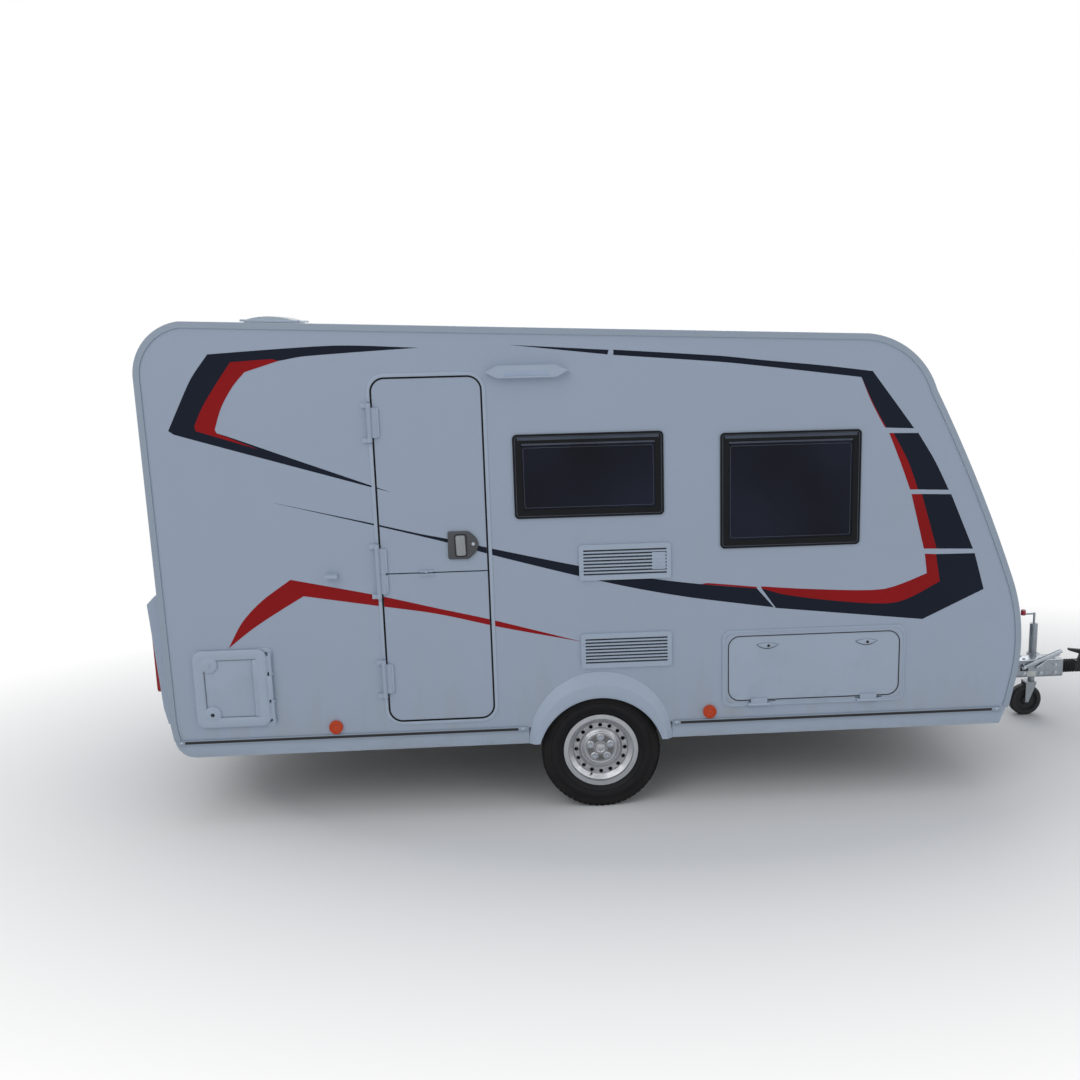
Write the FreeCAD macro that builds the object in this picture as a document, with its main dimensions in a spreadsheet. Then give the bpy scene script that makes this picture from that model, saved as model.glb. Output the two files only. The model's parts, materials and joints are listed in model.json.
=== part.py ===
"""Travel caravan on a single axle, as separate pieces in one parametric document.

Lengths are in millimetres. X runs forward to the coupling, Y to the left, Z up from
the ground. The pieces are drawn about the axle and then moved, so that the origin
lies on the ground below the middle of the caravan. The entrance door is on the right.
"""
import FreeCAD, Part
import Sketcher
import math
import os

SIZES = {
    # Body shell, measured from the axle and from the ground
    "body_width": 2100,
    "wall": 30,
    "wall_bottom": 472,
    "rear_foot": 2165,
    "rear_knee": 2178,
    "rear_knee_rise": 98,
    "rear_top": 2190,
    "roof_height": 2560,
    "rear_corner_depth": 232,
    "rear_corner_drop": 251,
    "rear_corner_radius": 262,
    "roof_front": 1363,
    "roof_fall": 134,
    "front_corner_depth": 346,
    "front_corner_drop": 282,
    "front_corner_radius": 415,
    "brow_radius": 8200,
    "nose_top": 2136,
    "nose_top_height": 1179,
    "nose_low": 2189,
    "nose_low_height": 656,
    "nose_radius": 1016,
    "front_foot": 2152,
    # Edge rail round the side, bottom rail and skirt
    "edge_rail_width": 30,
    "edge_rail_thickness": 6,
    "bottom_rail_height": 26,
    "bottom_rail_thickness": 8,
    "bottom_rail_bottom": 453,
    "rail_rear_end": 2148,
    "rail_front_end": 2110,
    "skirt_bottom": 385,
    "skirt_thickness": 20,
    "skirt_rear_foot": 2066,
    "skirt_rear_top": 2150,
    "skirt_front_foot": 2106,
    "skirt_front_top": 2140,
    # Wheel arch
    "arch_half_width": 371,
    "arch_base": 385,
    "arch_mouth_half_width": 314,
    "arch_mouth_radius": 328,
    "arch_thickness": 12,
    "wheel_box_radius": 350,
    "wheel_box_skin": 6,
    "wheel_box_depth": 250,
    # Entrance door, in two halves
    "door_rear": 1079,
    "door_width": 535,
    "door_bottom": 533,
    "door_height": 1738,
    "door_corner": 68,
    "door_split": 1305,
    "door_gap": 6,
    "stop_width": 16,
    "stop_thickness": 12,
    # Door hinges
    "hinge_offset": 13,
    "hinge_inset": 12,
    "hinge_knuckle_radius": 12,
    "hinge_pin_radius": 4,
    "hinge_running_gap": 0.05,
    "hinge_end_gap": 0.3,
    "hinge_lug": 22,
    "low_hinge_bottom": 666,
    "mid_hinge_bottom": 1183,
    "top_hinge_bottom": 1963,
    "low_hinge_length": 197,
    "mid_hinge_length": 276,
    "top_hinge_length": 190,
    # Windows
    "window_frame_width": 42,
    "window_frame_proud": 9,
    "window_lap": 16,
    "window_corner": 22,
    "window_inner_corner": 10,
    "pane_thickness": 16,
    "mid_window_rear": 404,
    "mid_window_width": 744,
    "mid_window_bottom": 1562,
    "mid_window_height": 418,
    "front_window_rear": 623,
    "front_window_width": 710,
    "front_window_bottom": 1377,
    "front_window_height": 583,
    "bow_window_bottom": 1330,
    "bow_window_height": 590,
    "bow_window_width": 520,
    "bow_window_space": 60,
    # Fridge vents
    "vent_rear": 92,
    "vent_width": 464,
    "vent_height": 182,
    "upper_vent_bottom": 1237,
    "lower_vent_bottom": 776,
    "vent_proud": 10,
    "vent_corner": 14,
    "vent_slot_height": 9,
    "vent_slots": 8,
    "vent_edge": 22,
    # Service door, hinged at its front edge
    "service_rear": 2042,
    "service_width": 397,
    "service_bottom": 540,
    "service_height": 410,
    "hatch_frame_width": 22,
    "hatch_frame_proud": 5,
    "service_corner": 30,
    "locker_corner": 45,
    "hatch_gap": 5,
    # Locker door, hinged at its lower edge
    "locker_rear": 632,
    "locker_width": 956,
    "locker_bottom": 537,
    "locker_height": 409,
    "hatch_hinge_offset": 9,
    "hatch_hinge_radius": 8,
    "hatch_hinge_inset": 11,
    "hatch_hinge_length": 118,
    "hatch_lug": 16,
    "hatch_pin_radius": 3,
    "hatch_relief": 3,
    # Gas locker lid in the nose, hinged at its top edge
    "gas_lid_width": 1400,
    "gas_lid_bottom": 620,
    "gas_lid_height": 500,
    # Floor frame
    "frame_rail_inset": 400,
    "frame_rail_height": 150,
    "frame_rail_width": 50,
    "frame_rail_gauge": 5,
    "frame_rail_rear": 2000,
    "frame_rail_front": 1450,
    "drawbar_height": 110,
    "drawbar_width": 50,
    "drawbar_gauge": 5,
    "drawbar_end": 2650,
    "seat_gap": 0.3,
    # Axle
    "axle_lead_length": 180,
    "axle_height": 272,
    "axle_radius": 45,
    "axle_gauge": 6,
    "arm_clearance": 11,
    "arm_thickness": 34,
    "arm_eye_radius": 48,
    "stub_radius": 17,
    # Wheels
    "tyre_radius": 311,
    "tyre_half_width": 97.5,
    "tyre_shoulder": 78,
    "tyre_sidewall_radius": 245,
    "bead_radius": 178,
    "bead_gap": 0.3,
    "flange_radius": 195,
    "flange_half_width": 70,
    "flange_thickness": 6,
    "wheel_inset": 125,
    "rim_gauge": 6,
    "vent_hole_radius": 11,
    "vent_hole_circle": 128,
    "vent_holes": 16,
    "drum_radius": 125,
    "drum_width": 84,
    "drum_boss_radius": 76,
    "axle_running_gap": 0.05,
    # Overrun housing and coupling
    "overrun_rear": 2640,
    "overrun_length": 290,
    "overrun_width": 104,
    "overrun_height": 110,
    "overrun_centre": 345,
    "bellows_length": 92,
    "bellows_radius": 42,
    "bellows_valley": 32,
    "bellows_folds": 6,
    "shaft_radius": 25,
    "coupling_half_width": 38,
    "ball_radius": 25,
    "coupling_height": 70,
    "socket_depth": 34,
    "front_reach": 3360,
    "rear_reach": 2260,
    # Handbrake lever
    "lever_length": 300,
    "lever_width": 16,
    # Jockey wheel
    "jockey_setback": 164,
    "jockey_side": 105,
    "jockey_outer_radius": 24,
    "jockey_outer_bore": 21,
    "jockey_outer_bottom": 330,
    "jockey_outer_top": 595,
    "jockey_inner_radius": 20.95,
    "jockey_inner_bottom": 222,
    "jockey_inner_top": 518,
    "jockey_wheel_radius": 100,
    "jockey_wheel_width": 56,
    "jockey_axle_radius": 8,
    "jockey_trail": 36,
    "jockey_plate": 5,
    "jockey_plate_height": 10,
    "jockey_pin_radius": 10,
    "jockey_spigot": 10,
    "jockey_running_gap": 0.05,
    "crank_rise": 70,
    "crank_reach": 72,
    "crank_radius": 7,
    "crank_knob_radius": 14,
    "crank_knob_length": 34,
    "clamp_length": 60,
    "clamp_wall": 10,
    # Corner steadies
    "steady_reach": 1480,
    "steady_inset": 200,
    "steady_length": 480,
    "steady_width": 46,
    "steady_depth": 34,
    "steady_gauge": 5,
    "steady_pivot": 425,
    "steady_pin_radius": 7,
    "steady_pin_gap": 0.05,
    "steady_bracket": 8,
    "steady_foot": 90,
    # Rear bumper moulding and lamps
    "bumper_bottom": 546,
    "bumper_top": 1219,
    "bumper_inset": 70,
    "bumper_chamfer": 43,
    "bumper_taper": 33,
    "bumper_foot_rise": 84,
    "bumper_foot_depth": 17,
    "bumper_gauge": 5,
    "lamp_height": 360,
    "lamp_width": 130,
    # Furniture and gas bottles
    "board_gauge": 15,
    "bench_rear": 640,
    "bench_length": 1150,
    "bench_depth": 600,
    "bench_height": 420,
    "kitchen_rear": 380,
    "kitchen_length": 800,
    "kitchen_depth": 500,
    "kitchen_height": 890,
    "bottle_radius": 152,
    "bottle_gauge": 6,
    "bottle_height": 500,
    "bottle_neck": 28,
    "bottle_valve": 70,
    "bottle_middle": 1965,
    "bottle_side": 180,
    # Side lamps, awning lamp, roof vent, door retainer
    "marker_radius": 35,
    "marker_thickness": 12,
    "rear_marker_distance": 1352,
    "front_marker_distance": 566,
    "marker_height": 518,
    "awning_lamp_rear": 524,
    "awning_lamp_width": 402,
    "awning_lamp_drop": 304,
    "awning_lamp_height": 60,
    "awning_lamp_thickness": 40,
    "roof_vent_rear": 1870,
    "roof_vent_size": 280,
    "roof_vent_rim": 12,
    "roof_vent_radius": 440,
    "retainer_rear": 1352,
    "retainer_length": 62,
    "retainer_height": 1308,
    "retainer_thickness": 16,
    "retainer_proud": 42,
    "catch_width": 70,
    "catch_rear": 889,
    "catch_height": 11,
    "catch_thickness": 7,
    "handle_rear": 741,
    "handle_width": 149,
    "handle_bottom": 1369,
    "handle_height": 143,
    "handle_thickness": 12,
    "handle_lever_proud": 24,
    "overrun_cut": 40,
}


class Size:
    """A length that knows its value and the sheet expression that gives it."""

    def __init__(self, value, text):
        self.value = float(value)
        self.text = text

    @staticmethod
    def of(other):
        if isinstance(other, Size):
            return other
        return Size(other, repr(other) if other >= 0 else "(%r)" % other)

    def __add__(self, other):
        other = Size.of(other)
        return Size(self.value + other.value, "(%s + %s)" % (self.text, other.text))

    def __radd__(self, other):
        return Size.of(other) + self

    def __sub__(self, other):
        other = Size.of(other)
        return Size(self.value - other.value, "(%s - %s)" % (self.text, other.text))

    def __rsub__(self, other):
        return Size.of(other) - self

    def __mul__(self, other):
        other = Size.of(other)
        return Size(self.value * other.value, "(%s * %s)" % (self.text, other.text))

    def __rmul__(self, other):
        return Size.of(other) * self

    def __truediv__(self, other):
        other = Size.of(other)
        return Size(self.value / other.value, "(%s / %s)" % (self.text, other.text))

    def __neg__(self):
        return Size(-self.value, "(0 - %s)" % self.text)


def root(size):
    return Size(math.sqrt(size.value), "sqrt(%s)" % size.text)


class Sheet:
    """The named sizes, one attribute each."""


doc = FreeCAD.newDocument("TravelCaravan")
cells = doc.addObject("Spreadsheet::Sheet", "Sizes")
S = Sheet()
for row, (name, value) in enumerate(SIZES.items(), start=1):
    cells.set("A%d" % row, name)
    cells.set("B%d" % row, str(value))
    cells.setAlias("B%d" % row, name)
    setattr(S, name, Size(value, "Sizes." + name))
doc.recompute()

ZERO = Size(0, "0")
HALF_WIDTH = S.body_width / 2
INNER_HALF = HALF_WIDTH - S.wall
AXLE_X = (S.rear_reach - S.front_reach) / 2
WHEEL_Y = HALF_WIDTH - S.wheel_inset
STEADY_Y = HALF_WIDTH - S.steady_inset
JOCKEY_X = S.overrun_rear + S.jockey_setback
JOCKEY_Y = S.jockey_side
AXLE_HALF = WHEEL_Y - S.tyre_half_width - S.arm_clearance - S.arm_thickness
RAIL_Y = HALF_WIDTH - S.frame_rail_inset
RIGHT, LEFT = -1, 1
ALONG_Y = FreeCAD.Rotation(FreeCAD.Vector(1, 0, 0), -90)
ALONG_X = FreeCAD.Rotation(FreeCAD.Vector(0, 1, 0), 90)
UPRIGHT = FreeCAD.Rotation()
FACING_Y = FreeCAD.Rotation(FreeCAD.Vector(1, 0, 0), 90)
FACING_X = FreeCAD.Rotation(FreeCAD.Vector(1, 1, 1), 120)
SUB_PARTS = []


def put(thing, path, size):
    """Bind one property of an object to a size."""
    thing.setExpression(path, Size.of(size).text)


def place(thing, x, y, z, rotation=UPRIGHT):
    x, y, z = Size.of(x), Size.of(y), Size.of(z)
    thing.Placement = FreeCAD.Placement(FreeCAD.Vector(x.value, y.value, z.value), rotation)
    put(thing, "Placement.Base.x", x)
    put(thing, "Placement.Base.y", y)
    put(thing, "Placement.Base.z", z)


def finished(thing, label, x=AXLE_X, y=ZERO, z=ZERO, rotation=UPRIGHT):
    """Label a sub-part, set it at its place and list it for writing."""
    thing.Label = label
    place(thing, x, y, z, rotation)
    SUB_PARTS.append(thing)
    return thing


def arc_between(start, end, radius, turn):
    """The shorter arc from start to end; turn is 1 to the left and -1 to the right."""
    (x0, z0), (x1, z1) = start, end
    chord = math.hypot(x1 - x0, z1 - z0)
    rise = math.sqrt(max(radius * radius - chord * chord / 4, 0))
    cx = (x0 + x1) / 2 - turn * rise * (z1 - z0) / chord
    cz = (z0 + z1) / 2 + turn * rise * (x1 - x0) / chord
    first, last = (start, end) if turn > 0 else (end, start)
    a = math.atan2(first[1] - cz, first[0] - cx)
    b = math.atan2(last[1] - cz, last[0] - cx)
    circle = Part.Circle(FreeCAD.Vector(cx, cz, 0), FreeCAD.Vector(0, 0, 1), radius)
    return Part.ArcOfCircle(circle, a, b if b > a else b + 2 * math.pi)


def bind_all(sketch, constraints, sizes):
    """Add constraints in one go and bind each that has a size."""
    first = sketch.ConstraintCount
    sketch.addConstraint(constraints)
    for number, size in enumerate(sizes):
        if size is not None:
            sketch.setExpression("Constraints[%d]" % (first + number), size.text)


def draw_loop(sketch, steps):
    """Draw one closed loop. A step is (x, z), or (x, z, radius, turn) after an arc."""
    steps = [tuple(Size.of(v) for v in step[:3]) + tuple(step[3:]) for step in steps]
    base = sketch.GeometryCount
    ends, shapes = [], []
    for i, step in enumerate(steps):
        before = steps[i - 1]
        start = (before[0].value, before[1].value)
        end = (step[0].value, step[1].value)
        if len(step) == 2:
            shapes.append(Part.LineSegment(FreeCAD.Vector(*start, 0), FreeCAD.Vector(*end, 0)))
            ends.append((1, 2))
        else:
            shapes.append(arc_between(start, end, step[2].value, step[3]))
            ends.append((1, 2) if step[3] > 0 else (2, 1))
    sketch.addGeometry(shapes, False)
    constraints, sizes = [], []
    for i, step in enumerate(steps):
        j = (i + 1) % len(steps)
        here, there = base + i, base + j
        constraints.append(Sketcher.Constraint("Coincident", here, ends[i][1], there, ends[j][0]))
        constraints.append(Sketcher.Constraint("DistanceX", here, ends[i][1], step[0].value))
        constraints.append(Sketcher.Constraint("DistanceY", here, ends[i][1], step[1].value))
        sizes.extend([None, step[0], step[1]])
        if len(step) > 2:
            constraints.append(Sketcher.Constraint("Radius", here, step[2].value))
            sizes.append(step[2])
    bind_all(sketch, constraints, sizes)


def draw_circle(sketch, x, z, radius):
    x, z, radius = Size.of(x), Size.of(z), Size.of(radius)
    centre = FreeCAD.Vector(x.value, z.value, 0)
    here = sketch.addGeometry(Part.Circle(centre, FreeCAD.Vector(0, 0, 1), radius.value), False)
    constraints = [Sketcher.Constraint("DistanceX", here, 3, x.value),
                   Sketcher.Constraint("DistanceY", here, 3, z.value),
                   Sketcher.Constraint("Radius", here, radius.value)]
    bind_all(sketch, constraints, [x, z, radius])


def fill(sketch, loops):
    for loop in loops:
        if isinstance(loop, dict):
            draw_circle(sketch, loop["x"], loop["z"], loop["radius"])
        else:
            draw_loop(sketch, loop)


def rounded(x0, z0, width, height, radius):
    """A rectangle with round corners, from its lower corner and its size."""
    x1 = x0 + width
    z1 = z0 + height
    return [(x1 - radius, z0), (x1, z0 + radius, radius, 1),
            (x1, z1 - radius), (x1 - radius, z1, radius, 1),
            (x0 + radius, z1), (x0, z1 - radius, radius, 1),
            (x0, z0 + radius), (x0 + radius, z0, radius, 1)]


def inset(x0, z0, width, height, radius, by, corner=None):
    """A rounded outline drawn inside another; corner gives its own corner radius."""
    corner = radius - by if corner is None else corner
    return rounded(x0 + by, z0 + by, width - 2 * by, height - 2 * by, corner)


def plane_of(body, role):
    return [f for f in body.Origin.OriginFeatures if f.Role == role][0]


def new_body(name):
    body = doc.addObject("PartDesign::Body", name)
    if hasattr(body, "AllowCompound"):
        body.AllowCompound = True
    return body


def body_sketch(body, role, lift, loops):
    sketch = body.newObject("Sketcher::SketchObject", body.Name + "_outline")
    sketch.AttachmentSupport = [(plane_of(body, role), "")]
    sketch.MapMode = "FlatFace"
    put(sketch, "AttachmentOffset.Base.z", lift)
    fill(sketch, loops)
    return sketch


def pad(body, role, lift, length, loops):
    """Pad loops drawn on an origin plane, from lift along the plane's normal."""
    feature = body.newObject("PartDesign::Pad", body.Name + "_pad")
    feature.Profile = body_sketch(body, role, lift, loops)
    put(feature, "Length", length)
    return feature


def pocket(body, role, lift, length, loops, reverse=False):
    """Cut loops drawn on an origin plane, from lift against the plane's normal."""
    feature = body.newObject("PartDesign::Pocket", body.Name + "_pocket")
    feature.Profile = body_sketch(body, role, lift, loops)
    put(feature, "Length", length)
    feature.Reversed = reverse
    return feature


def revolve(body, role, loops, axis="H_Axis"):
    feature = body.newObject("PartDesign::Revolution", body.Name + "_turned")
    sketch = body_sketch(body, role, ZERO, loops)
    feature.Profile = sketch
    feature.ReferenceAxis = (sketch, [axis])
    feature.Angle = 360
    return feature


def around(body, feature, role, count):
    """Repeat a feature about one of the body's own axes."""
    pattern = body.newObject("PartDesign::PolarPattern", body.Name + "_pattern")
    pattern.Originals = [feature]
    pattern.Axis = (plane_of(body, role), [""])
    pattern.Angle = 360
    put(pattern, "Occurrences", count)
    body.Tip = pattern
    return pattern


def side_lift(side, inner, thickness):
    """Where a pad on the XZ plane starts to lie between inner and inner + thickness."""
    return inner if side == RIGHT else -(inner + thickness)


def side_pad(body, side, inner, thickness, loops):
    return pad(body, "XZ_Plane", side_lift(side, inner, thickness), thickness, loops)


def block(name, x0, x1, y0, y1, z0, z1):
    thing = doc.addObject("Part::Box", name)
    put(thing, "Length", x1 - x0)
    put(thing, "Width", y1 - y0)
    put(thing, "Height", z1 - z0)
    place(thing, x0, y0, z0)
    return thing


def rod(name, radius, length, x, y, z, rotation=UPRIGHT):
    thing = doc.addObject("Part::Cylinder", name)
    put(thing, "Radius", radius)
    put(thing, "Height", length)
    place(thing, x, y, z, rotation)
    return thing


def cut(name, base, *tools):
    for number, tool in enumerate(tools):
        result = doc.addObject("Part::Cut", "%s_cut%d" % (name, number))
        result.Base = base
        result.Tool = tool
        base = result
    return base


def fuse(name, *pieces):
    result = doc.addObject("Part::MultiFuse", name + "_fused")
    result.Shapes = list(pieces)
    result.Refine = True
    return result


def common(name, first, second):
    result = doc.addObject("Part::Common", name + "_common")
    result.Base = first
    result.Tool = second
    return result


def together(name, *pieces):
    """Like pieces that don't touch, kept as separate solids of one sub-part."""
    result = doc.addObject("Part::Compound", name + "_set")
    result.Links = list(pieces)
    return result


def prism(name, facing, lift, length, loops, x=ZERO, y=ZERO, z=ZERO):
    """Extrude a sketch that stands on a plane: FACING_Y runs towards -Y, FACING_X to +X."""
    sketch = doc.addObject("Sketcher::SketchObject", name + "_outline")
    fill(sketch, loops)
    if facing is FACING_Y:
        place(sketch, x, y - lift, z, FACING_Y)
    elif facing is FACING_X:
        place(sketch, x + lift, y, z, FACING_X)
    else:
        place(sketch, x, y, z + lift, UPRIGHT)
    result = doc.addObject("Part::Extrusion", name)
    result.Base = sketch
    result.DirMode = "Normal"
    result.Solid = True
    put(result, "LengthFwd", length)
    return result


# The side outline, from the rear foot forward and back over the roof
ROOF_FRONT_Z = S.roof_height - S.roof_fall
BROW_X = S.roof_front + S.front_corner_depth
BROW_Z = ROOF_FRONT_Z - S.front_corner_drop
ROOF_REAR_X = -(S.rear_top - S.rear_corner_depth)
REAR_TOP_Z = S.roof_height - S.rear_corner_drop
HUB_HEIGHT = S.tyre_radius
ARCH_CHORD = root(S.wheel_box_radius * S.wheel_box_radius
                  - (S.wall_bottom - HUB_HEIGHT) * (S.wall_bottom - HUB_HEIGHT))


def upper_outline():
    return [(S.front_foot, S.wall_bottom),
            (S.nose_low, S.nose_low_height),
            (S.nose_top, S.nose_top_height, S.nose_radius, 1),
            (BROW_X, BROW_Z, S.brow_radius, 1),
            (S.roof_front, ROOF_FRONT_Z, S.front_corner_radius, 1),
            (ROOF_REAR_X, S.roof_height),
            (-S.rear_top, REAR_TOP_Z, S.rear_corner_radius, 1),
            (-S.rear_knee, S.wall_bottom + S.rear_knee_rise),
            (-S.rear_foot, S.wall_bottom)]


def wall_outline():
    return [(-ARCH_CHORD, S.wall_bottom),
            (ARCH_CHORD, S.wall_bottom, S.wheel_box_radius, -1)] + upper_outline()


DOOR = (-S.door_rear, S.door_bottom, S.door_width, S.door_height, S.door_corner)
MID_WINDOW = (-S.mid_window_rear, S.mid_window_bottom, S.mid_window_width,
              S.mid_window_height, S.window_corner)
FRONT_WINDOW = (S.front_window_rear, S.front_window_bottom, S.front_window_width,
                S.front_window_height, S.window_corner)
UPPER_VENT = (-S.vent_rear, S.upper_vent_bottom, S.vent_width, S.vent_height, S.vent_corner)
LOWER_VENT = (-S.vent_rear, S.lower_vent_bottom, S.vent_width, S.vent_height, S.vent_corner)
SERVICE = (-S.service_rear, S.service_bottom, S.service_width, S.service_height, S.service_corner)
LOCKER = (S.locker_rear, S.locker_bottom, S.locker_width, S.locker_height, S.locker_corner)


def side_wall(side, label):
    """A whole side of the body, with its door, window, vent and hatch openings cut."""
    body = new_body(label)
    side_pad(body, side, INNER_HALF, S.wall, [wall_outline()])
    holes = [inset(*MID_WINDOW, S.window_lap, S.window_inner_corner),
             inset(*FRONT_WINDOW, S.window_lap, S.window_inner_corner)]
    if side == RIGHT:
        holes.append(rounded(*DOOR))
        holes.append(inset(*UPPER_VENT, S.vent_edge / 4))
        holes.append(inset(*LOWER_VENT, S.vent_edge / 4))
        holes.append(inset(*SERVICE, S.hatch_frame_width / 2))
        holes.append(inset(*LOCKER, S.hatch_frame_width / 2))
    start = HALF_WIDTH + S.overrun_cut if side == RIGHT else S.overrun_cut - INNER_HALF
    for hole in holes:
        pocket(body, "XZ_Plane", start, S.wall + 2 * S.overrun_cut, [hole])
    return finished(body, label)


def shell_sketch():
    sketch = doc.addObject("Sketcher::SketchObject", "shell_outline")
    fill(sketch, [upper_outline()])
    place(sketch, ZERO, INNER_HALF, ZERO, FACING_Y)
    return sketch


SHELL = shell_sketch()


def shell_block(name, outset):
    """The space inside the side outline, set out or in, between the side walls."""
    source = SHELL
    if outset is not None:
        source = doc.addObject("Part::Offset2D", name + "_offset")
        source.Source = SHELL
        source.Mode = "Pipe"
        source.Join = "Arc"
        source.Value = outset.value
        put(source, "Value", outset)
    result = doc.addObject("Part::Extrusion", name)
    result.Base = source
    result.DirMode = "Custom"
    result.Dir = FreeCAD.Vector(0, -1, 0)
    result.Solid = True
    put(result, "LengthFwd", 2 * INNER_HALF)
    return result


SHELL_SOLID = shell_block("shell_solid", None)
RING = cut("shell_ring", SHELL_SOLID, shell_block("shell_hollow", -S.wall))


REACH = S.front_reach + S.rear_reach
FLOOR_TOP = S.wall_bottom + S.wall
GAS_LID_TOP = S.gas_lid_bottom + S.gas_lid_height


def slab(name, x0, x1, z0, z1, half=None):
    half = INNER_HALF + S.overrun_cut if half is None else half
    return block(name, x0, x1, -half, half, z0, z1)


def floor_panel():
    slice_ = slab("floor_slice", -REACH, REACH, ZERO, FLOOR_TOP)
    radius = S.wheel_box_radius + S.wheel_box_skin
    depth = S.wheel_box_depth + S.wheel_box_skin
    wells = []
    for side in (RIGHT, LEFT):
        y = side * INNER_HALF - (depth if side == LEFT else S.overrun_cut)
        wells.append(rod("floor_well", radius, depth + S.overrun_cut, ZERO, y, HUB_HEIGHT, ALONG_Y))
    return finished(cut("floor", common("floor", RING, slice_), *wells), "floor")


def rear_wall():
    region = slab("rear_slice", -REACH, ROOF_REAR_X, FLOOR_TOP, 2 * S.roof_height)
    return finished(common("rear_wall", RING, region), "rear_wall")


def roof_panel():
    region = slab("roof_slice", ROOF_REAR_X, S.roof_front, FLOOR_TOP, 2 * S.roof_height)
    inner = S.roof_vent_size / 2 - S.wall
    middle = -S.roof_vent_rear + S.roof_vent_size / 2
    hole = slab("roof_hole", middle - inner, middle + inner, FLOOR_TOP, 2 * S.roof_height, inner)
    return finished(cut("roof", common("roof", RING, region), hole), "roof")


def bow_windows(name, by, corner):
    """Three windows side by side in the sloping front, as blocks along X."""
    places = []
    pitch = S.bow_window_width + S.bow_window_space
    for number in (-1, 0, 1):
        y = number * pitch - S.bow_window_width / 2
        loop = inset(y, S.bow_window_bottom, S.bow_window_width, S.bow_window_height,
                     S.window_corner, by, corner)
        places.append(prism("%s_%d" % (name, number + 1), FACING_X, S.roof_front, REACH, [loop]))
    return places


def front_wall():
    region = slab("front_slice", S.roof_front, REACH, FLOOR_TOP, 2 * S.roof_height)
    wall = common("front_wall", RING, region)
    lid = slab("gas_hole", S.roof_front, REACH, S.gas_lid_bottom, GAS_LID_TOP, S.gas_lid_width / 2)
    wall = cut("front_wall", wall, lid, *bow_windows("bow_hole", S.window_lap, S.window_inner_corner))
    return finished(wall, "front_wall")


def bow_window_glass():
    outer = S.window_frame_proud / 2
    skin = cut("bow_glass", shell_block("bow_glass_out", outer),
               shell_block("bow_glass_in", outer - S.pane_thickness))
    return [common("bow_pane_%d" % i, skin, mouth)
            for i, mouth in enumerate(bow_windows("bow_pane", S.window_frame_width,
                                                     S.window_inner_corner))]


def bow_window_frames():
    """Frames that lap the front wall outside and line its holes."""
    rings = []
    corner = S.window_inner_corner
    outer = bow_windows("bow_frame", ZERO, S.window_corner)
    sleeve = bow_windows("bow_sleeve", S.window_lap, corner)
    mouth = bow_windows("bow_mouth", S.window_frame_width, corner)
    skin = cut("bow_frame_skin", shell_block("bow_skin_out", S.window_frame_proud), SHELL_SOLID)
    for i in range(3):
        flange = common("bow_flange%d" % i, skin, outer[i])
        lining = common("bow_lining%d" % i, RING, sleeve[i])
        rings.append(cut("bow_ring%d" % i, fuse("bow_ring%d" % i, flange, lining), mouth[i]))
    return rings


def edge_rail(side, name):
    outer = prism(name, FACING_Y, side_lift(side, HALF_WIDTH, S.edge_rail_thickness),
                  S.edge_rail_thickness, [upper_outline()])
    source = doc.addObject("Part::Offset2D", name + "_offset")
    source.Source = outer.Base
    source.Mode = "Pipe"
    source.Join = "Arc"
    source.Value = -S.edge_rail_width.value
    put(source, "Value", -S.edge_rail_width)
    inner = doc.addObject("Part::Extrusion", name + "_inner")
    inner.Base = source
    inner.DirMode = "Custom"
    inner.Dir = FreeCAD.Vector(0, -1, 0)
    inner.Solid = True
    put(inner, "LengthFwd", S.edge_rail_thickness)
    low = block(name + "_low", -REACH, REACH, -S.body_width, S.body_width, ZERO,
                S.bottom_rail_bottom + S.bottom_rail_height)
    strip = block(name + "_strip", S.edge_rail_width - S.rear_foot,
                  S.front_foot - S.edge_rail_width, -S.body_width, S.body_width, ZERO,
                  S.wall_bottom + 2 * S.edge_rail_width)
    return cut(name, outer, inner, low, strip)


def edge_rails():
    rails = [edge_rail(side, "edge_rail_%s" % word) for side, word in ((RIGHT, "r"), (LEFT, "l"))]
    return finished(together("edge_rails", *rails), "edge_rails")


def bottom_rails():
    pieces = []
    top = S.bottom_rail_bottom + S.bottom_rail_height
    for side in (RIGHT, LEFT):
        lift = side_lift(side, HALF_WIDTH, S.bottom_rail_thickness)
        arch = S.arch_half_width + S.door_gap
        rear = [(-arch, S.bottom_rail_bottom), (-arch, top), (-S.rail_rear_end, top),
                (-S.rail_rear_end, S.bottom_rail_bottom)]
        front = [(S.rail_front_end, S.bottom_rail_bottom), (S.rail_front_end, top),
                 (arch, top), (arch, S.bottom_rail_bottom)]
        for word, loop in (("rear", rear), ("front", front)):
            pieces.append(prism("bottom_rail_%s%d" % (word, side + 1), FACING_Y, lift,
                                S.bottom_rail_thickness, [loop]))
    return finished(together("bottom_rails", *pieces), "bottom_rails")


def side_skirts():
    """The skirt panels below the side walls, before and behind each wheel."""
    arch = S.arch_half_width
    rear = [(-arch, S.skirt_bottom), (-arch, S.wall_bottom), (-S.skirt_rear_top, S.wall_bottom),
            (-S.skirt_rear_foot, S.skirt_bottom)]
    front = [(S.skirt_front_foot, S.skirt_bottom), (S.skirt_front_top, S.wall_bottom),
             (arch, S.wall_bottom), (arch, S.skirt_bottom)]
    panels = []
    for side in (RIGHT, LEFT):
        lift = side_lift(side, HALF_WIDTH - S.skirt_thickness, S.skirt_thickness)
        for word, loop in (("rear", rear), ("front", front)):
            panels.append(prism("skirt_%s%d" % (word, side + 1), FACING_Y, lift,
                                S.skirt_thickness, [loop]))
    return finished(together("side_skirts", *panels), "side_skirts")


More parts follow.
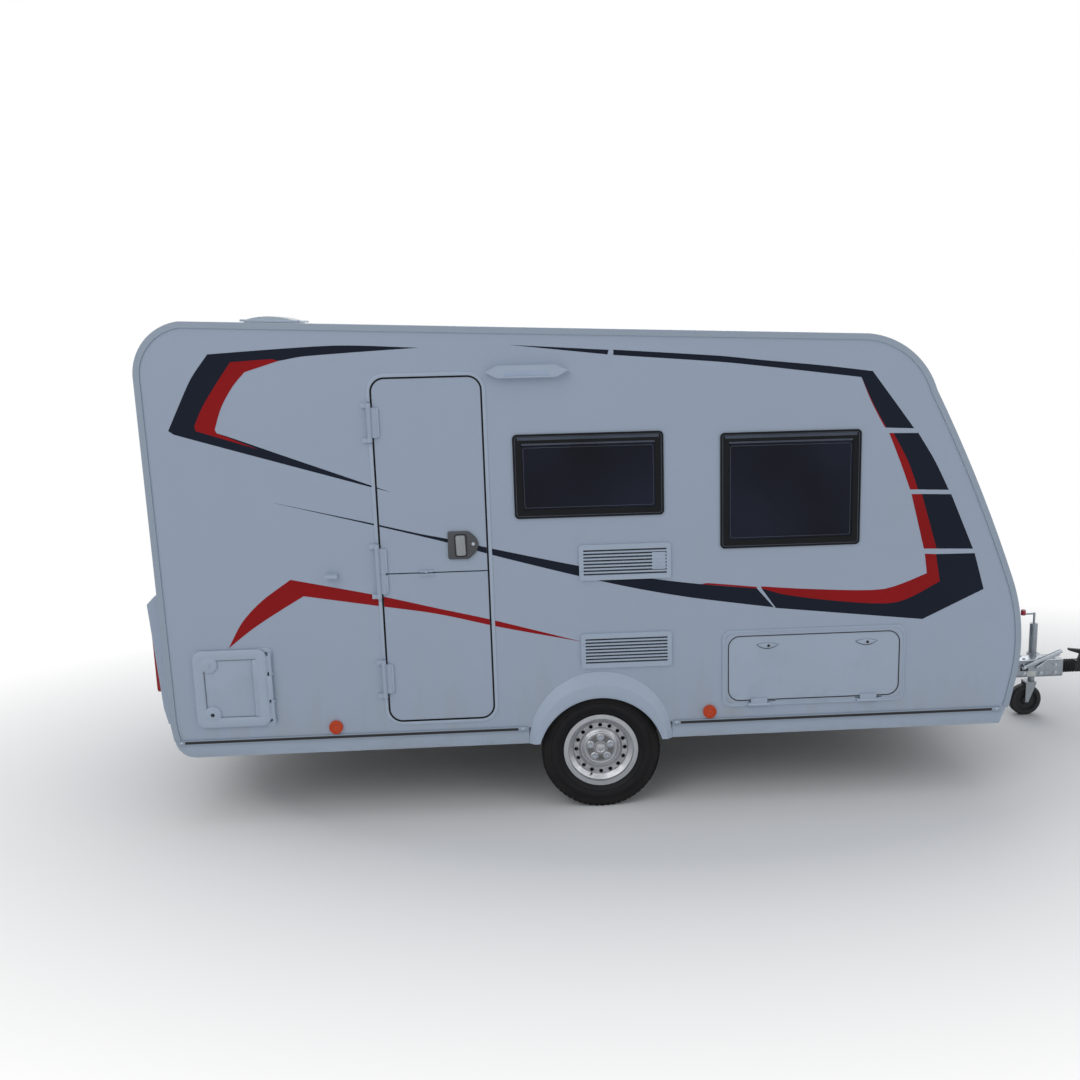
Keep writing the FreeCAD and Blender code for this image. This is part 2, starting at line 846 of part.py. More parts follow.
def wheel_arches():
    """The spat round each wheel: a broad half ring on the side wall."""
    pieces = []
    outer, mouth = S.arch_half_width, S.arch_mouth_half_width
    for side in (RIGHT, LEFT):
        loop = [(-mouth, S.arch_base),
                (mouth, S.arch_base, S.arch_mouth_radius, -1),
                (outer, S.arch_base),
                (ZERO, S.arch_base + outer, outer, 1),
                (-outer, S.arch_base, outer, 1)]
        lift = side_lift(side, HALF_WIDTH, S.arch_thickness)
        pieces.append(prism("wheel_arch%d" % (side + 1), FACING_Y, lift, S.arch_thickness, [loop]))
    return finished(together("wheel_arches", *pieces), "wheel_arches")


def wheel_box(side, label):
    """The half-round liner over one wheel, closed towards the cabin."""
    outer_radius = S.wheel_box_radius + S.wheel_box_skin
    depth = S.wheel_box_depth + S.wheel_box_skin
    if side == LEFT:
        outer_y, inner_y = INNER_HALF - depth, INNER_HALF - S.wheel_box_depth
    else:
        outer_y, inner_y = -INNER_HALF, -INNER_HALF - S.overrun_cut
    outer = rod(label + "_out", outer_radius, depth, ZERO, outer_y, HUB_HEIGHT, ALONG_Y)
    hollow = rod(label + "_in", S.wheel_box_radius, S.wheel_box_depth + S.overrun_cut,
                 ZERO, inner_y, HUB_HEIGHT, ALONG_Y)
    low = block(label + "_low", -REACH, REACH, -S.body_width, S.body_width, -REACH, S.wall_bottom)
    return cut(label, outer, hollow, low)


def wheel_boxes():
    pair = [wheel_box(RIGHT, "wheel_box_r"), wheel_box(LEFT, "wheel_box_l")]
    return finished(together("wheel_boxes", *pair), "wheel_boxes")


def door_frame():
    """The stop behind the door, on the inner face of the right side wall."""
    body = new_body("door_frame")
    grow = rounded(-S.door_rear - S.stop_width, S.door_bottom - S.stop_width,
                   S.door_width + 2 * S.stop_width, S.door_height + 2 * S.stop_width,
                   S.door_corner + S.stop_width)
    inner = INNER_HALF - S.stop_thickness
    side_pad(body, RIGHT, inner, S.stop_thickness, [grow, inset(*DOOR, S.stop_width)])
    return finished(body, "door_frame")


def along(axis, lo, hi, a, b):
    """Box corners from a span along an axis and two spans across it, in X, Y, Z order."""
    spans = {"x": (lo, hi) + a + b, "y": a + (lo, hi) + b, "z": a + b + (lo, hi)}
    return spans[axis]


def rod_along(name, axis, radius, lo, hi, a, b):
    rotation = {"x": ALONG_X, "y": ALONG_Y, "z": UPRIGHT}[axis]
    corner = {"x": (lo, a, b), "y": (a, lo, b), "z": (a, b, lo)}[axis]
    return rod(name, radius, hi - lo, *corner, rotation)


def hinge_fixed(name, axis, at, lo, hi, radius, pin, lug, tongue, seat=None):
    """Two lugs with their tongues and the pin through them, as one solid."""
    pieces = [rod_along(name + "_pin", axis, pin, lo, hi, *at)]
    for word, start, end in (("a", lo, lo + lug), ("b", hi - lug, hi)):
        pieces.append(rod_along(name + "_lug" + word, axis, radius, start, end, *at))
        pieces.append(block(name + "_tongue" + word, *along(axis, start, end, *tongue)))
    solid = fuse(name, *pieces)
    return solid if seat is None else cut(name, solid, seat)


def hinge_free(name, axis, at, lo, hi, radius, pin, tongue, seat=None):
    """One bored knuckle with its tongue on to the leaf."""
    barrel = rod_along(name + "_barrel", axis, radius, lo, hi, *at)
    solid = fuse(name, barrel, block(name + "_tongue", *along(axis, lo, hi, *tongue)))
    bore = rod_along(name + "_bore", axis, pin + S.hinge_running_gap,
                     lo - S.overrun_cut, hi + S.overrun_cut, *at)
    return cut(name, solid, bore) if seat is None else cut(name, solid, bore, seat)


HINGE_X = -(S.door_rear + S.hinge_inset)
HINGE_Y = -(HALF_WIDTH + S.hinge_offset)
HINGES = ((S.low_hinge_bottom, S.low_hinge_length), (S.mid_hinge_bottom, S.mid_hinge_length),
          (S.top_hinge_bottom, S.top_hinge_length))
DOOR_TONGUE_Y = (HINGE_Y, HINGE_Y + S.hinge_offset)
DOOR_TONGUE_REACH = 3 * S.hinge_knuckle_radius


def door_hinges():
    """Wall side of the hinges: two lugs and the pin that joins them, three times."""
    tongue = ((HINGE_X - DOOR_TONGUE_REACH, HINGE_X), DOOR_TONGUE_Y)
    sets = [hinge_fixed("hinge%d" % number, "z", (HINGE_X, HINGE_Y), bottom, bottom + length,
                        S.hinge_knuckle_radius, S.hinge_pin_radius, S.hinge_lug, tongue)
            for number, (bottom, length) in enumerate(HINGES)]
    return finished(together("door_hinges", *sets), "door_hinges")


def door_half(label, bottom, top, knuckles, catch_bottom, low):
    """One half of the stable door with its knuckles and its half of the catch."""
    gap = S.door_gap
    x0, x1 = -S.door_rear + gap, -S.door_rear + S.door_width - gap
    r = S.door_corner - gap
    if low:
        loop = [(x1 - r, bottom), (x1, bottom + r, r, 1), (x1, top), (x0, top),
                (x0, bottom + r), (x0 + r, bottom, r, 1)]
    else:
        loop = [(x0, bottom), (x1, bottom), (x1, top - r), (x1 - r, top, r, 1),
                (x0 + r, top), (x0, top - r, r, 1)]
    pieces = [prism(label + "_leaf", FACING_Y, INNER_HALF, S.wall, [loop])]
    tongue = ((HINGE_X, HINGE_X + DOOR_TONGUE_REACH), DOOR_TONGUE_Y)
    for number, (foot, head) in enumerate(knuckles):
        pieces.append(hinge_free("%s_knuckle%d" % (label, number), "z", (HINGE_X, HINGE_Y), foot,
                                 head, S.hinge_knuckle_radius, S.hinge_pin_radius, tongue))
    pieces.append(block(label + "_catch", -S.catch_rear, -S.catch_rear + S.catch_width,
                        -HALF_WIDTH - S.catch_thickness, -HALF_WIDTH,
                        catch_bottom, catch_bottom + S.catch_height))
    return finished(fuse(label, *pieces), label)


def door_halves():
    free = S.hinge_lug + S.hinge_end_gap
    (low, low_length), (mid, mid_length), (top, top_length) = HINGES
    half_gap = S.door_gap / 2
    lower = [(low + free, low + low_length - free), (mid + free, S.door_split - S.hinge_end_gap)]
    upper = [(S.door_split + S.hinge_end_gap, mid + mid_length - free),
             (top + free, top + top_length - free)]
    door_half("door_lower", S.door_bottom + S.door_gap, S.door_split - half_gap, lower,
              S.door_split - half_gap - S.catch_height, True)
    door_half("door_upper", S.door_split + half_gap, S.door_bottom + S.door_height - S.door_gap,
              upper, S.door_split + half_gap, False)


def door_handle():
    x0, x1 = -S.handle_rear, -S.handle_rear + S.handle_width
    z0 = S.handle_bottom
    z1 = z0 + S.handle_height
    r = S.handle_height / 2
    plate = prism("handle_plate", FACING_Y, HALF_WIDTH, S.handle_thickness,
                  [[(x1 - r, z0), (x1, z0 + r, r, 1), (x1 - r, z1, r, 1), (x0, z1), (x0, z0)]])
    lever = prism("handle_lever", FACING_Y, HALF_WIDTH + S.handle_thickness,
                  S.handle_lever_proud - S.handle_thickness,
                  [[(x1 - r, z0 + r / 3), (x1 - r, z0 + 2 * r / 3),
                    (x0 + r / 4, z0 + 2 * r / 3), (x0 + r / 4, z0 + r / 3)]])
    return finished(fuse("door_handle", plate, lever), "door_handle")


def window_set(side, word):
    """Frame rings and panes of the two side windows on one side."""
    frames, panes = [], []
    for number, place_ in enumerate((MID_WINDOW, FRONT_WINDOW)):
        name = "%s_window%d" % (word, number)
        corner = S.window_inner_corner
        opening = inset(*place_, S.window_frame_width, corner)
        ring = prism(name + "_ring", FACING_Y, side_lift(side, HALF_WIDTH, S.window_frame_proud),
                     S.window_frame_proud, [rounded(*place_), opening])
        sleeve = prism(name + "_sleeve", FACING_Y, side_lift(side, INNER_HALF, S.wall), S.wall,
                       [inset(*place_, S.window_lap, corner), opening])
        frames.append(fuse(name, ring, sleeve))
        inner = HALF_WIDTH + S.window_frame_proud / 2 - S.pane_thickness
        panes.append(prism(name + "_pane", FACING_Y, side_lift(side, inner, S.pane_thickness),
                           S.pane_thickness, [opening]))
    return frames, panes


def windows():
    frames, panes = bow_window_frames(), bow_window_glass()
    for side, word in ((RIGHT, "right"), (LEFT, "left")):
        side_frames, side_panes = window_set(side, word)
        frames.extend(side_frames)
        panes.extend(side_panes)
    finished(together("window_frames", *frames), "window_frames")
    finished(together("window_panes", *panes), "window_panes")


def vent_grille(name, opening):
    """A louvred plate: one slot cut through it and repeated upwards."""
    x0, z0, width, height, corner = opening
    body = new_body(name)
    side_pad(body, RIGHT, HALF_WIDTH, S.vent_proud, [rounded(*opening)])
    pitch = (height - 2 * S.vent_edge) / S.vent_slots
    slot = rounded(x0 + S.vent_edge, z0 + S.vent_edge + (pitch - S.vent_slot_height) / 2,
                   width - 2 * S.vent_edge, S.vent_slot_height, S.vent_slot_height / 3)
    first = pocket(body, "XZ_Plane", HALF_WIDTH + S.vent_proud, S.vent_proud, [slot])
    column = body.newObject("PartDesign::LinearPattern", name + "_slots")
    column.Originals = [first]
    column.Direction = (plane_of(body, "Z_Axis"), [""])
    put(column, "Length", pitch * (S.vent_slots - 1))
    put(column, "Occurrences", S.vent_slots)
    body.Tip = column
    return body


def vent_grilles():
    pair = [vent_grille("upper_vent", UPPER_VENT), vent_grille("lower_vent", LOWER_VENT)]
    return finished(together("vent_grilles", *pair), "vent_grilles")


HATCH_SURFACE = HALF_WIDTH + S.hatch_frame_proud
HATCH_TONGUE_Y = (-HATCH_SURFACE - S.hatch_hinge_offset, -HATCH_SURFACE)


def hatch_spans(start, length):
    """The two hinges of a hatch, as spans along its hinged edge."""
    for share in HATCH_HINGE_SHARES:
        middle = start + share * length
        yield middle - S.hatch_hinge_length / 2, middle + S.hatch_hinge_length / 2


HATCH_HINGE_SHARES = (0.2, 0.8)


def hatch(leaf_label, opening, axis):
    """A framed hatch: axis z puts its hinges on the front edge, axis x on the lower edge."""
    frame_label = leaf_label + "_frame"
    x0, z0, width, height, corner = opening
    y = HATCH_TONGUE_Y[0]
    inset_ = S.hatch_hinge_inset
    frame = new_body(frame_label + "_ring")
    edge = S.hatch_frame_width
    side_pad(frame, RIGHT, HALF_WIDTH, S.hatch_frame_proud, [rounded(*opening), inset(*opening, edge)])
    side_pad(frame, RIGHT, INNER_HALF, S.wall, [inset(*opening, edge / 2), inset(*opening, edge)])
    by = edge + S.hatch_gap
    loop = rounded(x0 + by, z0 + by, width - 2 * by, height - 2 * by, corner - edge)
    leaf = prism(leaf_label + "_leaf", FACING_Y, INNER_HALF, HATCH_SURFACE - INNER_HALF, [loop])
    if axis == "z":
        line = x0 + width - inset_
        at = (line, y)
        fixed_tongue = ((line, line + inset_), HATCH_TONGUE_Y)
        free_tongue = ((line - 3 * inset_, line), HATCH_TONGUE_Y)
        spans = hatch_spans(z0, height)
    else:
        line = z0 + inset_
        at = (y, line)
        fixed_tongue = (HATCH_TONGUE_Y, (line - inset_, line))
        free_tongue = (HATCH_TONGUE_Y, (line, line + 3 * inset_))
        spans = hatch_spans(x0, width)
    fixed, free = [frame], [leaf]
    clear = S.hatch_lug + S.hinge_end_gap
    for number, (lo, hi) in enumerate(spans):
        fixed.append(hinge_fixed("%s_hinge%d" % (frame_label, number), axis, at, lo, hi,
                                 S.hatch_hinge_radius, S.hatch_pin_radius, S.hatch_lug, fixed_tongue))
        free.append(hinge_free("%s_knuckle%d" % (leaf_label, number), axis, at, lo + clear,
                               hi - clear, S.hatch_hinge_radius, S.hatch_pin_radius, free_tongue))
    finished(fuse(leaf_label, *free), leaf_label)
    return fuse(frame_label, *fixed)


def hatches():
    frames = [hatch("service_door", SERVICE, "z"), hatch("locker_door", LOCKER, "x")]
    return finished(together("hatch_frames", *frames), "hatch_frames")


def nose_x(height):
    """Where the nose's curve stands at a height, from its two ends and its radius."""
    dx, dz = S.nose_top - S.nose_low, S.nose_top_height - S.nose_low_height
    chord = root(dx * dx + dz * dz)
    rise = root(S.nose_radius * S.nose_radius - chord * chord / 4)
    cx = (S.nose_top + S.nose_low) / 2 - rise * dz / chord
    cz = (S.nose_top_height + S.nose_low_height) / 2 + rise * dx / chord
    return cx + root(S.nose_radius * S.nose_radius - (height - cz) * (height - cz))


GAS_HINGE_Z = GAS_LID_TOP + S.hatch_hinge_inset
GAS_HINGE_X = nose_x(GAS_HINGE_Z) + S.hatch_hinge_offset + S.hatch_hinge_radius / 2


def gas_locker():
    """The lid in the nose with two hinges at its top edge."""
    half = S.gas_lid_width / 2 - S.hatch_gap
    region = slab("gas_lid_slice", S.roof_front, REACH, S.gas_lid_bottom + S.hatch_gap,
                  GAS_LID_TOP - S.hatch_gap, half)
    lid = common("gas_locker_lid", RING, region)
    at = (GAS_HINGE_X, GAS_HINGE_Z)
    depth = (GAS_HINGE_X - 2 * S.wall, GAS_HINGE_X)
    fixed_tongue = (depth, (GAS_HINGE_Z, GAS_HINGE_Z + 2 * S.hatch_hinge_inset))
    free_tongue = (depth, (GAS_HINGE_Z - 3 * S.hatch_hinge_inset, GAS_HINGE_Z))
    clear = S.hatch_lug + S.hinge_end_gap
    relief = common("gas_relief", shell_block("gas_relief_skin", S.hatch_relief),
                    slab("gas_relief_slice", S.roof_front, REACH, GAS_LID_TOP - S.hatch_gap,
                         2 * S.roof_height))
    free_seat = fuse("gas_free_seat", SHELL_SOLID, relief)
    fixed, free = [], [lid]
    for number, (lo, hi) in enumerate(hatch_spans(-S.gas_lid_width / 2, S.gas_lid_width)):
        fixed.append(hinge_fixed("gas_hinge%d" % number, "y", at, lo, hi, S.hatch_hinge_radius,
                                 S.hatch_pin_radius, S.hatch_lug, fixed_tongue, SHELL_SOLID))
        free.append(hinge_free("gas_knuckle%d" % number, "y", at, lo + clear, hi - clear,
                               S.hatch_hinge_radius, S.hatch_pin_radius, free_tongue, free_seat))
    finished(together("gas_locker_hinges", *fixed), "gas_locker_hinges")
    finished(fuse("gas_locker_lid", *free), "gas_locker_lid")


RAIL_TOP = S.wall_bottom
RAIL_BOTTOM = RAIL_TOP - S.frame_rail_height


def channel(width, height, gauge, mouth):
    """A channel section with its web at zero; mouth is the side it opens to."""
    steps = [(ZERO, ZERO), (width, ZERO), (width, gauge), (gauge, gauge),
             (gauge, height - gauge), (width, height - gauge), (width, height), (ZERO, height)]
    return steps if mouth > 0 else [(-x, z) for x, z in reversed(steps)]


def frame_rail(side, label):
    """A long pressed channel under the floor, open towards the middle."""
    body = new_body(label)
    section = channel(S.frame_rail_width, S.frame_rail_height, S.frame_rail_gauge, -side)
    web = side * RAIL_Y
    section = [(web + y, RAIL_BOTTOM + z) for y, z in section]
    pad(body, "YZ_Plane", -S.frame_rail_rear, S.frame_rail_rear + S.frame_rail_front, [section])
    return finished(body, label)


def drawbar_arm(side, label):
    """A channel that runs in from the end of the floor rail to the overrun housing."""
    outer0 = side * RAIL_Y
    outer1 = side * (S.overrun_width / 2 + S.drawbar_gauge + S.seat_gap)
    z0 = RAIL_TOP - S.drawbar_height
    pieces = []
    levels = (("web", S.drawbar_gauge, z0, S.drawbar_height),
              ("low", S.drawbar_width, z0, S.drawbar_gauge),
              ("high", S.drawbar_width, RAIL_TOP - S.drawbar_gauge, S.drawbar_gauge))
    for word, width, z, height in levels:
        inner0, inner1 = outer0 - side * width, outer1 - side * width
        end = S.drawbar_end
        loop = [(S.frame_rail_front, outer0), (S.frame_rail_front, inner0)]
        if word == "web":
            loop = loop + [(end, inner1), (end, outer1)]
        else:
            loop = loop + [(end, outer1 - side * S.drawbar_gauge), (end, outer1)]
        if side == LEFT:
            loop = list(reversed(loop))
        pieces.append(prism("%s_%s" % (label, word), UPRIGHT, z, height, [list(reversed(loop))]))
    return finished(fuse(label, *pieces), label)


AXLE_SEAT = RAIL_BOTTOM
BOSS_SHARE = 0.46
DRUM_FACE_SHARE = 0.27


def axle_tube():
    """The cross tube with a saddle under each floor rail."""
    tube = rod("axle_bar", S.axle_radius, 2 * AXLE_HALF, S.axle_lead_length,
               -AXLE_HALF, S.axle_height, ALONG_Y)
    hollow = rod("axle_hollow", S.axle_radius - S.axle_gauge, 2 * AXLE_HALF + 2 * S.overrun_cut,
                 S.axle_lead_length, -AXLE_HALF - S.overrun_cut, S.axle_height, ALONG_Y)
    saddles = []
    for side in (RIGHT, LEFT):
        middle = side * (RAIL_Y - S.frame_rail_width / 2)
        half = S.frame_rail_width / 2
        saddles.append(block("axle_saddle%d" % (side + 1), S.axle_lead_length - S.axle_radius,
                             S.axle_lead_length + S.axle_radius, middle - half, middle + half,
                             S.axle_height, AXLE_SEAT))
    return finished(cut("axle_tube", fuse("axle", tube, *saddles), hollow), "axle_tube")


def trailing_arm(side, label):
    """The swing arm from the tube's end back to the wheel, with its stub axle."""
    lift = side_lift(side, AXLE_HALF, S.arm_thickness)
    r = S.arm_eye_radius
    loop = [(S.axle_lead_length, S.axle_height - r),
            (S.axle_lead_length + r, S.axle_height, r, 1), (S.axle_lead_length, S.axle_height + r, r, 1),
            (ZERO, HUB_HEIGHT + r), (-r, HUB_HEIGHT, r, 1), (ZERO, HUB_HEIGHT - r, r, 1)]
    arm = prism(label + "_plate", FACING_Y, lift, S.arm_thickness, [loop])
    root_y = AXLE_HALF + S.arm_thickness
    length = WHEEL_Y + BOSS_SHARE * S.flange_half_width - root_y
    y = root_y if side == LEFT else -root_y - length
    stub = rod(label + "_stub", S.stub_radius, length, ZERO, y, HUB_HEIGHT, ALONG_Y)
    return fuse(label, arm, stub)


def trailing_arms():
    pair = [trailing_arm(RIGHT, "arm_r"), trailing_arm(LEFT, "arm_l")]
    return finished(together("trailing_arms", *pair), "trailing_arms")


def turned(label, side, loops):
    """Revolve (out, radius) loops about the wheel's axis, out being away from the middle."""
    body = new_body(label)
    revolve(body, "YZ_Plane", [mirrored(loop, side) for loop in loops])
    return body


def mirrored(loop, side):
    if side == LEFT:
        return loop
    return [(-step[0], step[1]) + ((step[2], -step[3]) if len(step) > 2 else ()) for step in loop]


def wheel_place(side):
    return AXLE_X, side * WHEEL_Y, HUB_HEIGHT


def tyre(side, label):
    half, shoulder = S.tyre_half_width, S.tyre_shoulder
    bead, inner = S.flange_half_width - S.bead_gap, S.bead_radius + S.bead_gap
    seat = S.flange_radius + S.bead_gap
    skin = S.tyre_half_width - S.tyre_shoulder
    side_r = S.tyre_radius - S.bead_radius
    crown = S.tyre_radius - skin / 2
    loop = [(bead, inner), (bead, seat), (half, S.tyre_sidewall_radius, side_r / 2, 1),
            (shoulder, crown, side_r, 1), (shoulder - skin, S.tyre_radius),
            (skin - shoulder, S.tyre_radius), (-shoulder, crown),
            (-half, S.tyre_sidewall_radius, side_r, 1), (-bead, seat, side_r / 2, 1),
            (-bead, inner), (-bead + skin, inner), (-bead + skin, seat),
            (-half + skin, S.tyre_sidewall_radius), (skin - shoulder, S.tyre_radius - skin),
            (shoulder - skin, S.tyre_radius - skin), (half - skin, S.tyre_sidewall_radius),
            (bead - skin, seat), (bead - skin, inner)]
    return finished(turned(label, side, [loop]), label, *wheel_place(side))


# Rim and disc section: shares of the flange's half width and radius
DISC_BACK_SHARES = ((0.40, 0.749), (0.51, 0.708), (0.51, 0.595), (0.29, 0.533), (0.29, 0.503),
                    (BOSS_SHARE, 0.410), (BOSS_SHARE, 0.154))
DISC_FACE_SHARES = ((0.57, 0.154), (0.54, 0.410), (0.37, 0.503), (0.37, 0.533), (0.60, 0.595),
                    (0.60, 0.718), (0.53, 0.749))


def rim(side, label):
    """A pressed steel wheel: drop-centre rim, dished disc and a ring of round holes."""
    half, radius, gauge = S.flange_half_width, S.flange_radius, S.rim_gauge
    lip = half + S.flange_thickness
    bead, well = S.bead_radius, S.bead_radius - 4 * S.rim_gauge
    outside = [(lip, radius), (half, radius), (half, bead), (0.74 * half, bead - gauge / 3),
               (0.49 * half, well), (-0.43 * half, well), (-0.66 * half, bead - gauge / 3),
               (-half, bead), (-half, radius), (-lip, radius), (-lip, bead - gauge)]
    inside = [(-0.70 * half, bead - 4 * gauge / 3), (-0.47 * half, well - gauge)]
    back = [(out * half, share * radius) for out, share in DISC_BACK_SHARES]
    face = [(out * half, share * radius) for out, share in DISC_FACE_SHARES]
    rest = [(0.78 * half, bead - 4 * gauge / 3), (lip, bead - gauge)]
    body = turned(label, side, [list(reversed(outside + inside + back + face + rest))])
    holes = pocket(body, "XZ_Plane", side_lift(side, half, ZERO), half,
                   [[*circle_loop(ZERO, S.vent_hole_circle, S.vent_hole_radius)]], side == LEFT)
    around(body, holes, "Y_Axis", S.vent_holes)
    return finished(body, label, *wheel_place(side))


def circle_loop(x, z, r):
    return [(x + r, z), (x, z + r, r, 1), (x - r, z, r, 1), (x, z - r, r, 1), (x + r, z, r, 1)][1:]


def brake_drum(side, label):
    """The drum behind the disc: its boss seats on the disc, its bore on the stub axle."""
    boss = BOSS_SHARE * S.flange_half_width
    face = DRUM_FACE_SHARE * S.flange_half_width
    back = boss - S.drum_width
    bore = S.stub_radius + S.axle_running_gap
    edge = S.rim_gauge
    hub = 2 * S.stub_radius
    loop = [(back, bore), (boss, bore), (boss, S.drum_boss_radius), (face, S.drum_boss_radius),
            (face, S.drum_radius - edge), (face - edge, S.drum_radius), (back, S.drum_radius),
            (back, S.drum_radius - edge), (face - 2 * edge, S.drum_radius - edge),
            (face - 2 * edge, hub), (back, hub)]
    return finished(turned(label, side, [loop]), label, *wheel_place(side))


def overrun_housing():
    """The pressed housing between the drawbar arms that carries the coupling shaft."""
    z0 = S.overrun_centre - S.overrun_height / 2
    half = S.overrun_width / 2
    edge = S.overrun_height / 5
    section = [(-half, z0 + edge), (edge - half, z0, edge, 1), (half - edge, z0),
               (half, z0 + edge, edge, 1), (half, z0 + S.overrun_height),
               (-half, z0 + S.overrun_height)]
    body = new_body("overrun_housing")
    pad(body, "YZ_Plane", S.overrun_rear, S.overrun_length, [section])
    return finished(body, "overrun_housing")


OVERRUN_FRONT = S.overrun_rear + S.overrun_length
SHAFT_END = OVERRUN_FRONT + S.bellows_length


def bellows():
    """The rubber gaiter over the shaft, with its folds."""
    body = new_body("bellows")
    pitch = S.bellows_length / S.bellows_folds
    crest = [(ZERO, S.bellows_valley)]
    for fold in range(int(S.bellows_folds.value)):
        crest.append(((fold + 0.5) * pitch, S.bellows_radius))
        crest.append(((fold + 1) * pitch, S.bellows_valley))
    inner = S.shaft_radius + S.bead_gap
    loop = [(ZERO, inner), (S.bellows_length, inner)] + list(reversed(crest))
    revolve(body, "XZ_Plane", [loop])
    return finished(body, "bellows", AXLE_X + OVERRUN_FRONT, ZERO, S.overrun_centre)


def coupling_shaft():
    return finished(rod("shaft", S.shaft_radius, S.bellows_length, ZERO, ZERO, ZERO, ALONG_X),
                    "coupling_shaft", AXLE_X + OVERRUN_FRONT, ZERO, S.overrun_centre, ALONG_X)


COUPLING_END = S.front_reach
BALL_X = COUPLING_END - S.coupling_half_width


def coupling_head():
    """The head that drops over the tow ball, with its round socket and its lever."""
    half = S.coupling_half_width
    top = S.overrun_centre + S.coupling_height / 2
    bottom = top - S.coupling_height
    neck = S.shaft_radius
    plan = [(SHAFT_END, -neck), (BALL_X - half, -neck), (BALL_X, -half),
            (COUPLING_END, ZERO, half, 1), (BALL_X, half, half, 1),
            (BALL_X - half, neck), (SHAFT_END, neck)]
    head = prism("coupling_block", UPRIGHT, bottom, S.coupling_height, [plan])
    lever = prism("coupling_lever", FACING_Y, -S.shaft_radius / 2, S.shaft_radius,
                  [[(SHAFT_END + neck, top), (BALL_X, top), (BALL_X - half, top + half),
                    (SHAFT_END - half, top + 2 * half), (SHAFT_END - half, top + 2 * half - neck / 2),
                    (SHAFT_END + half, top + half)]])
    socket = rod("coupling_socket", S.ball_radius, S.socket_depth + S.overrun_cut,
                 BALL_X, ZERO, bottom - S.overrun_cut)
    return finished(cut("coupling_head", fuse("coupling", head, lever), socket), "coupling_head")


def handbrake_lever():
    """The brake lever beside the housing, lying forward and up, on its pivot boss."""
    y = S.overrun_width / 2
    x0, z0 = S.overrun_rear + S.lever_width, S.overrun_centre
    x1, z1 = x0 + S.lever_length * 0.87, z0 + S.lever_length * 0.42
    w = S.lever_width
    bar = prism("lever_bar", FACING_Y, y, w / 2,
                [[(x0, z0), (x0 + w, z0), (x1, z1 - w), (x1, z1), (x0, z0 + w)]])
    grip = prism("lever_grip", FACING_Y, y - w / 4 + w / 4, w,
                 [[(x1 - 6 * w, z1 - 4 * w), (x1, z1 - w), (x1, z1), (x1 - 6 * w, z1 - 3 * w)]])
    return finished(fuse("handbrake_lever", bar, grip), "handbrake_lever")


def jockey_clamp():
    """The clamp round the jockey's tube, seated on the side of the housing."""
    z0 = S.overrun_centre
    outer = S.jockey_outer_radius + S.clamp_wall
    ring = rod("clamp_ring", outer, S.clamp_length, JOCKEY_X, JOCKEY_Y, z0)
    arm = block("clamp_arm", JOCKEY_X - outer, JOCKEY_X + outer, S.overrun_width / 2,
                JOCKEY_Y, z0, z0 + S.clamp_length)
    hole = rod("clamp_hole", S.jockey_outer_radius, S.clamp_length + 2 * S.overrun_cut,
               JOCKEY_X, JOCKEY_Y, z0 - S.overrun_cut)
    return finished(cut("jockey_clamp", fuse("clamp", ring, arm), hole), "jockey_clamp")


def jockey_tube():
    """The outer tube held by the clamp, with the crank on its cap."""
    body = doc.addObject("Part::Cylinder", "jockey_outer")
    put(body, "Radius", S.jockey_outer_radius)
    put(body, "Height", S.jockey_outer_top - S.jockey_outer_bottom)
    place(body, JOCKEY_X, JOCKEY_Y, S.jockey_outer_bottom)
    bore = rod("jockey_bore", S.jockey_outer_bore, S.jockey_outer_top - S.jockey_outer_bottom,
               JOCKEY_X, JOCKEY_Y, S.jockey_outer_bottom - S.clamp_wall)
    tube = cut("jockey_tube", body, bore)
    top = S.jockey_outer_top + S.crank_rise
    post = rod("crank_post", S.crank_radius, S.crank_rise, JOCKEY_X, JOCKEY_Y,
               S.jockey_outer_top)
    arm = rod("crank_arm", 0.8 * S.crank_radius, S.crank_reach, JOCKEY_X - S.crank_reach,
              JOCKEY_Y, top - S.crank_radius, ALONG_X)
    knob = rod("crank_knob", S.crank_knob_radius, S.crank_knob_length,
               JOCKEY_X - S.crank_reach, JOCKEY_Y, top - 2 * S.crank_radius)
    return finished(fuse("jockey_tube", tube, post, arm, knob), "jockey_tube")


def jockey_leg():
    """The inner tube that slides in the outer one."""
    stem = rod("jockey_stem", S.jockey_inner_radius, S.jockey_inner_top - S.jockey_inner_bottom,
               JOCKEY_X, JOCKEY_Y, S.jockey_inner_bottom)
    low = rod("jockey_spigot", S.jockey_pin_radius, S.jockey_spigot, JOCKEY_X, JOCKEY_Y,
              S.jockey_inner_bottom - S.jockey_spigot)
    return finished(fuse("jockey_leg", stem, low), "jockey_leg")


